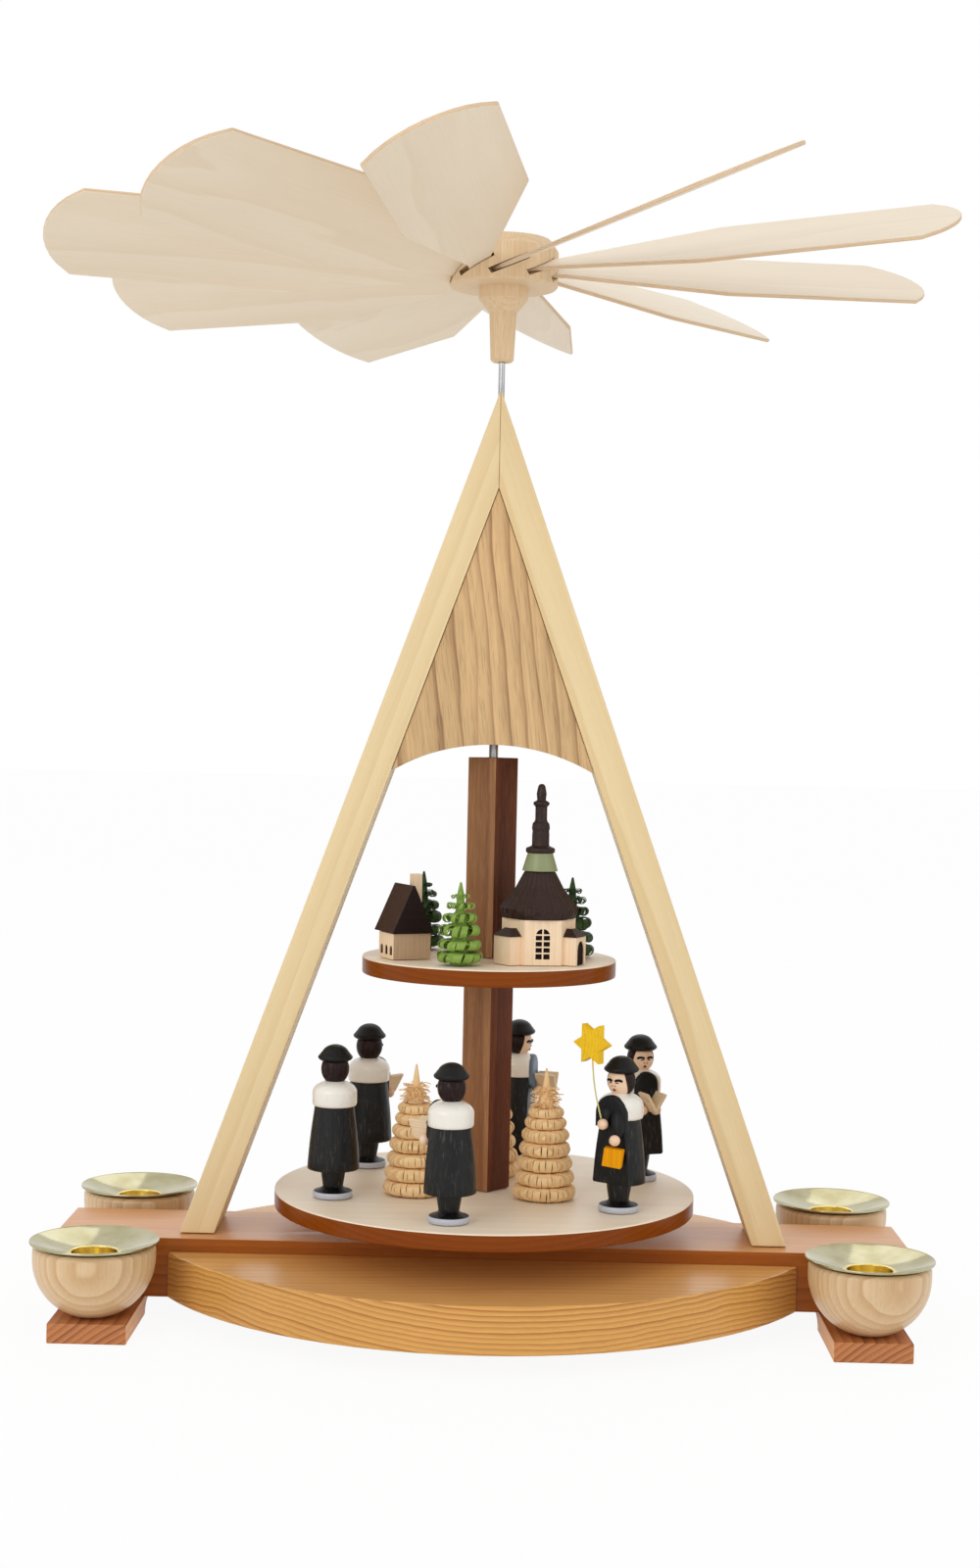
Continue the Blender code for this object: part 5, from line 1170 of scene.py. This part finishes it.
def sleeveMesh(side, hand, thick):
    shoulder = Vector((singer.shoulderForward, side * singer.shoulderSide, singer.sleeveTop))
    cuff = Vector(hand) + Vector((-singer.cuffBehind, 0, singer.cuffAbove))
    run = cuff - shoulder
    radii = (thick, thick, run.length / 2 + singer.sleeveRound)
    mesh = ballMesh(radii, taper=singer.sleeveTaper)
    mesh.transform(run.to_track_quat("Z", "Y").to_matrix().to_4x4())
    mesh.transform(Matrix.Translation(shoulder + run / 2))
    return mesh


def headMesh():
    mesh = ballMesh((singer.head, singer.head, singer.head * singer.headTall), 36, 24)
    mesh.transform(Matrix.Translation((0, 0, singer.headHeight)))
    return mesh


def joinMeshes(meshes):
    shape = bmesh.new()
    for mesh in meshes:
        shape.from_mesh(mesh)
    return meshFrom(shape)


def standingFrame(node, heading):
    # the turned body's own axis: the base disc is what stands on the floor
    mesh = nodes[node].data
    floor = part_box(node)[0][2]
    feet = [vertex.co for vertex in mesh.vertices if vertex.co.z < floor + 0.0001]
    low = Vector((min(foot.x for foot in feet), min(foot.y for foot in feet)))
    high = Vector((max(foot.x for foot in feet), max(foot.y for foot in feet)))
    centre = (low + high) / 2
    return Matrix.Translation((centre.x, centre.y, floor)) @ spin(heading)


def makeSinger(node, heading, sleeveLook, seed):
    own = standingFrame(node, heading)

    def add(part, mesh, looks, smooth=35):
        # the body stands for the solid, and the rest is on it
        addPiece(f"{node}_{part}", node, mesh, looks, own, 0.31 * seed, smooth=smooth, stands=part == "body")

    body = turnedMesh(bodyProfile(), singer.steps, paintBody)
    cutFlat(body)
    add("body", body, ["skin", "capeIvory", "coatBlack", "baseGrey"], 50)
    add("head", headMesh(), ["skin"])
    add("hat", turnedMesh(hatProfile(), singer.steps), ["hatBlack"], 60)
    add("hair", hairMesh(), ["hairBrown"])
    add("face", faceMesh(), ["faceInk"])
    add("mouth", mouthMesh(), ["lipRed"])
    hands = [(singer.handForward, side * singer.handSide, singer.handHeight) for side in (-1, 1)]
    wide, thick = singer.yokeWidth, singer.sleeve
    if node == "star_bearer":
        hands = [bearer.starHand, bearer.lanternHand]
        wide, thick = bearer.yokeWidth, bearer.sleeve
    sleeves = [sleeveMesh(side, hand, thick) for side, hand in zip((-1, 1), hands)]
    add("sleeves", joinMeshes(sleeves + [yokeMesh(wide)]), [sleeveLook])
    palms = []
    for hand in hands:
        palms.append(ballMesh((singer.hand,) * 3))
        palms[-1].transform(Matrix.Translation(hand))
    add("hands", joinMeshes(palms), ["skin"])


def makeSingers():
    for seed, (node, heading, sleeveLook) in enumerate(singers):
        makeSinger(node, heading, sleeveLook, seed)


makeSingers()
print("carolers made")


# Songbooks, star on its wire and lantern
held = Values(bookEdge=0.00012, starEdge=0.00015, lanternEdge=0.0003, starTall=0.0155)


def makeThingsHeld():
    for seed, (node, heading, sleeveLook) in enumerate(singers[:-1]):
        book = node.replace("caroler", "songbook")
        own = Matrix.Translation(middle(book)) @ spin(heading)
        dressNode(book, ["bookMaple"], own, None, 0.2 * seed, held.bookEdge)
    dressNode("star_on_wire", ["starYellow", "wirePaint"], None, paintStar, 0.3, held.starEdge)
    dressNode("lantern", ["lanternOrange"], None, None, 0.6, held.lanternEdge)


def paintStar(centre, normal):
    low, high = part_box("star_on_wire")
    return 1 if centre.z < (high[2] - low[2]) / 2 - held.starTall else 0


makeThingsHeld()
print("held things dressed")


# Stage: pale floor, white surroundings and soft lamps
stageLook = Values(
    floorSize=16.0, floorColour=(250, 250, 250), floorGlow=0.93, ambient=0.80,
    lamps=(
        # place, width, power in watts
        ((-1.0, -1.5, 0.95), 1.0, 7.5),
        ((1.3, -1.1, 0.6), 0.9, 1.7),
        ((0.1, 1.2, 1.3), 0.9, 1.7),
    ),
    aim=(0, 0, 0.17),
)


def whiteWhereSeen(tree):
    # one for rays from the camera, and for those seen in metal and glass
    rays = put(tree, "LightPath").outputs
    seen = calc(tree, "MAXIMUM", rays["Is Camera Ray"], rays["Is Glossy Ray"])
    return calc(tree, "MAXIMUM", seen, rays["Is Transmission Ray"])


def makeStage():
    shape = bmesh.new()
    bmesh.ops.create_grid(shape, x_segments=1, y_segments=1, size=stageLook.floorSize / 2)
    floor = bpy.data.objects.new("floor", meshFrom(shape))
    scene.collection.objects.link(floor)
    paper = bpy.data.materials.new("floorPaper")
    paper.use_nodes = True
    tree = paper.node_tree
    shader = tree.nodes["Principled BSDF"]
    shader.inputs["Base Color"].default_value = tint(*stageLook.floorColour)
    shader.inputs["Roughness"].default_value = 0.9
    glow = put(tree, "Emission", None, {"Color": (1, 1, 1, 1), "Strength": 1.0})
    seen = calc(tree, "MULTIPLY", whiteWhereSeen(tree), stageLook.floorGlow)
    mixed = put(tree, "MixShader", None, {0: seen, 1: shader.outputs[0], 2: glow.outputs[0]})
    tree.links.new(mixed.outputs[0], tree.nodes["Material Output"].inputs["Surface"])
    floor.data.materials.append(paper)
    world = bpy.data.worlds.new("studio")
    world.use_nodes = True
    tree = world.node_tree
    ground = tree.nodes["Background"]
    ground.inputs["Color"].default_value = (1, 1, 1, 1)
    strength = put(tree, "MapRange", None, {"Value": whiteWhereSeen(tree), "To Min": stageLook.ambient, "To Max": 1.0})
    tree.links.new(strength.outputs["Result"], ground.inputs["Strength"])
    scene.world = world
    for number, (place, width, power) in enumerate(stageLook.lamps):
        lampData = bpy.data.lights.new(f"softLamp{number + 1}", "AREA")
        lampData.size = width
        lampData.energy = power
        lamp = bpy.data.objects.new(lampData.name, lampData)
        aim = Vector(stageLook.aim) - Vector(place)
        lamp.matrix_world = Matrix.Translation(place) @ aim.to_track_quat("-Z", "Y").to_matrix().to_4x4()
        scene.collection.objects.link(lamp)


makeStage()
print("stage set")
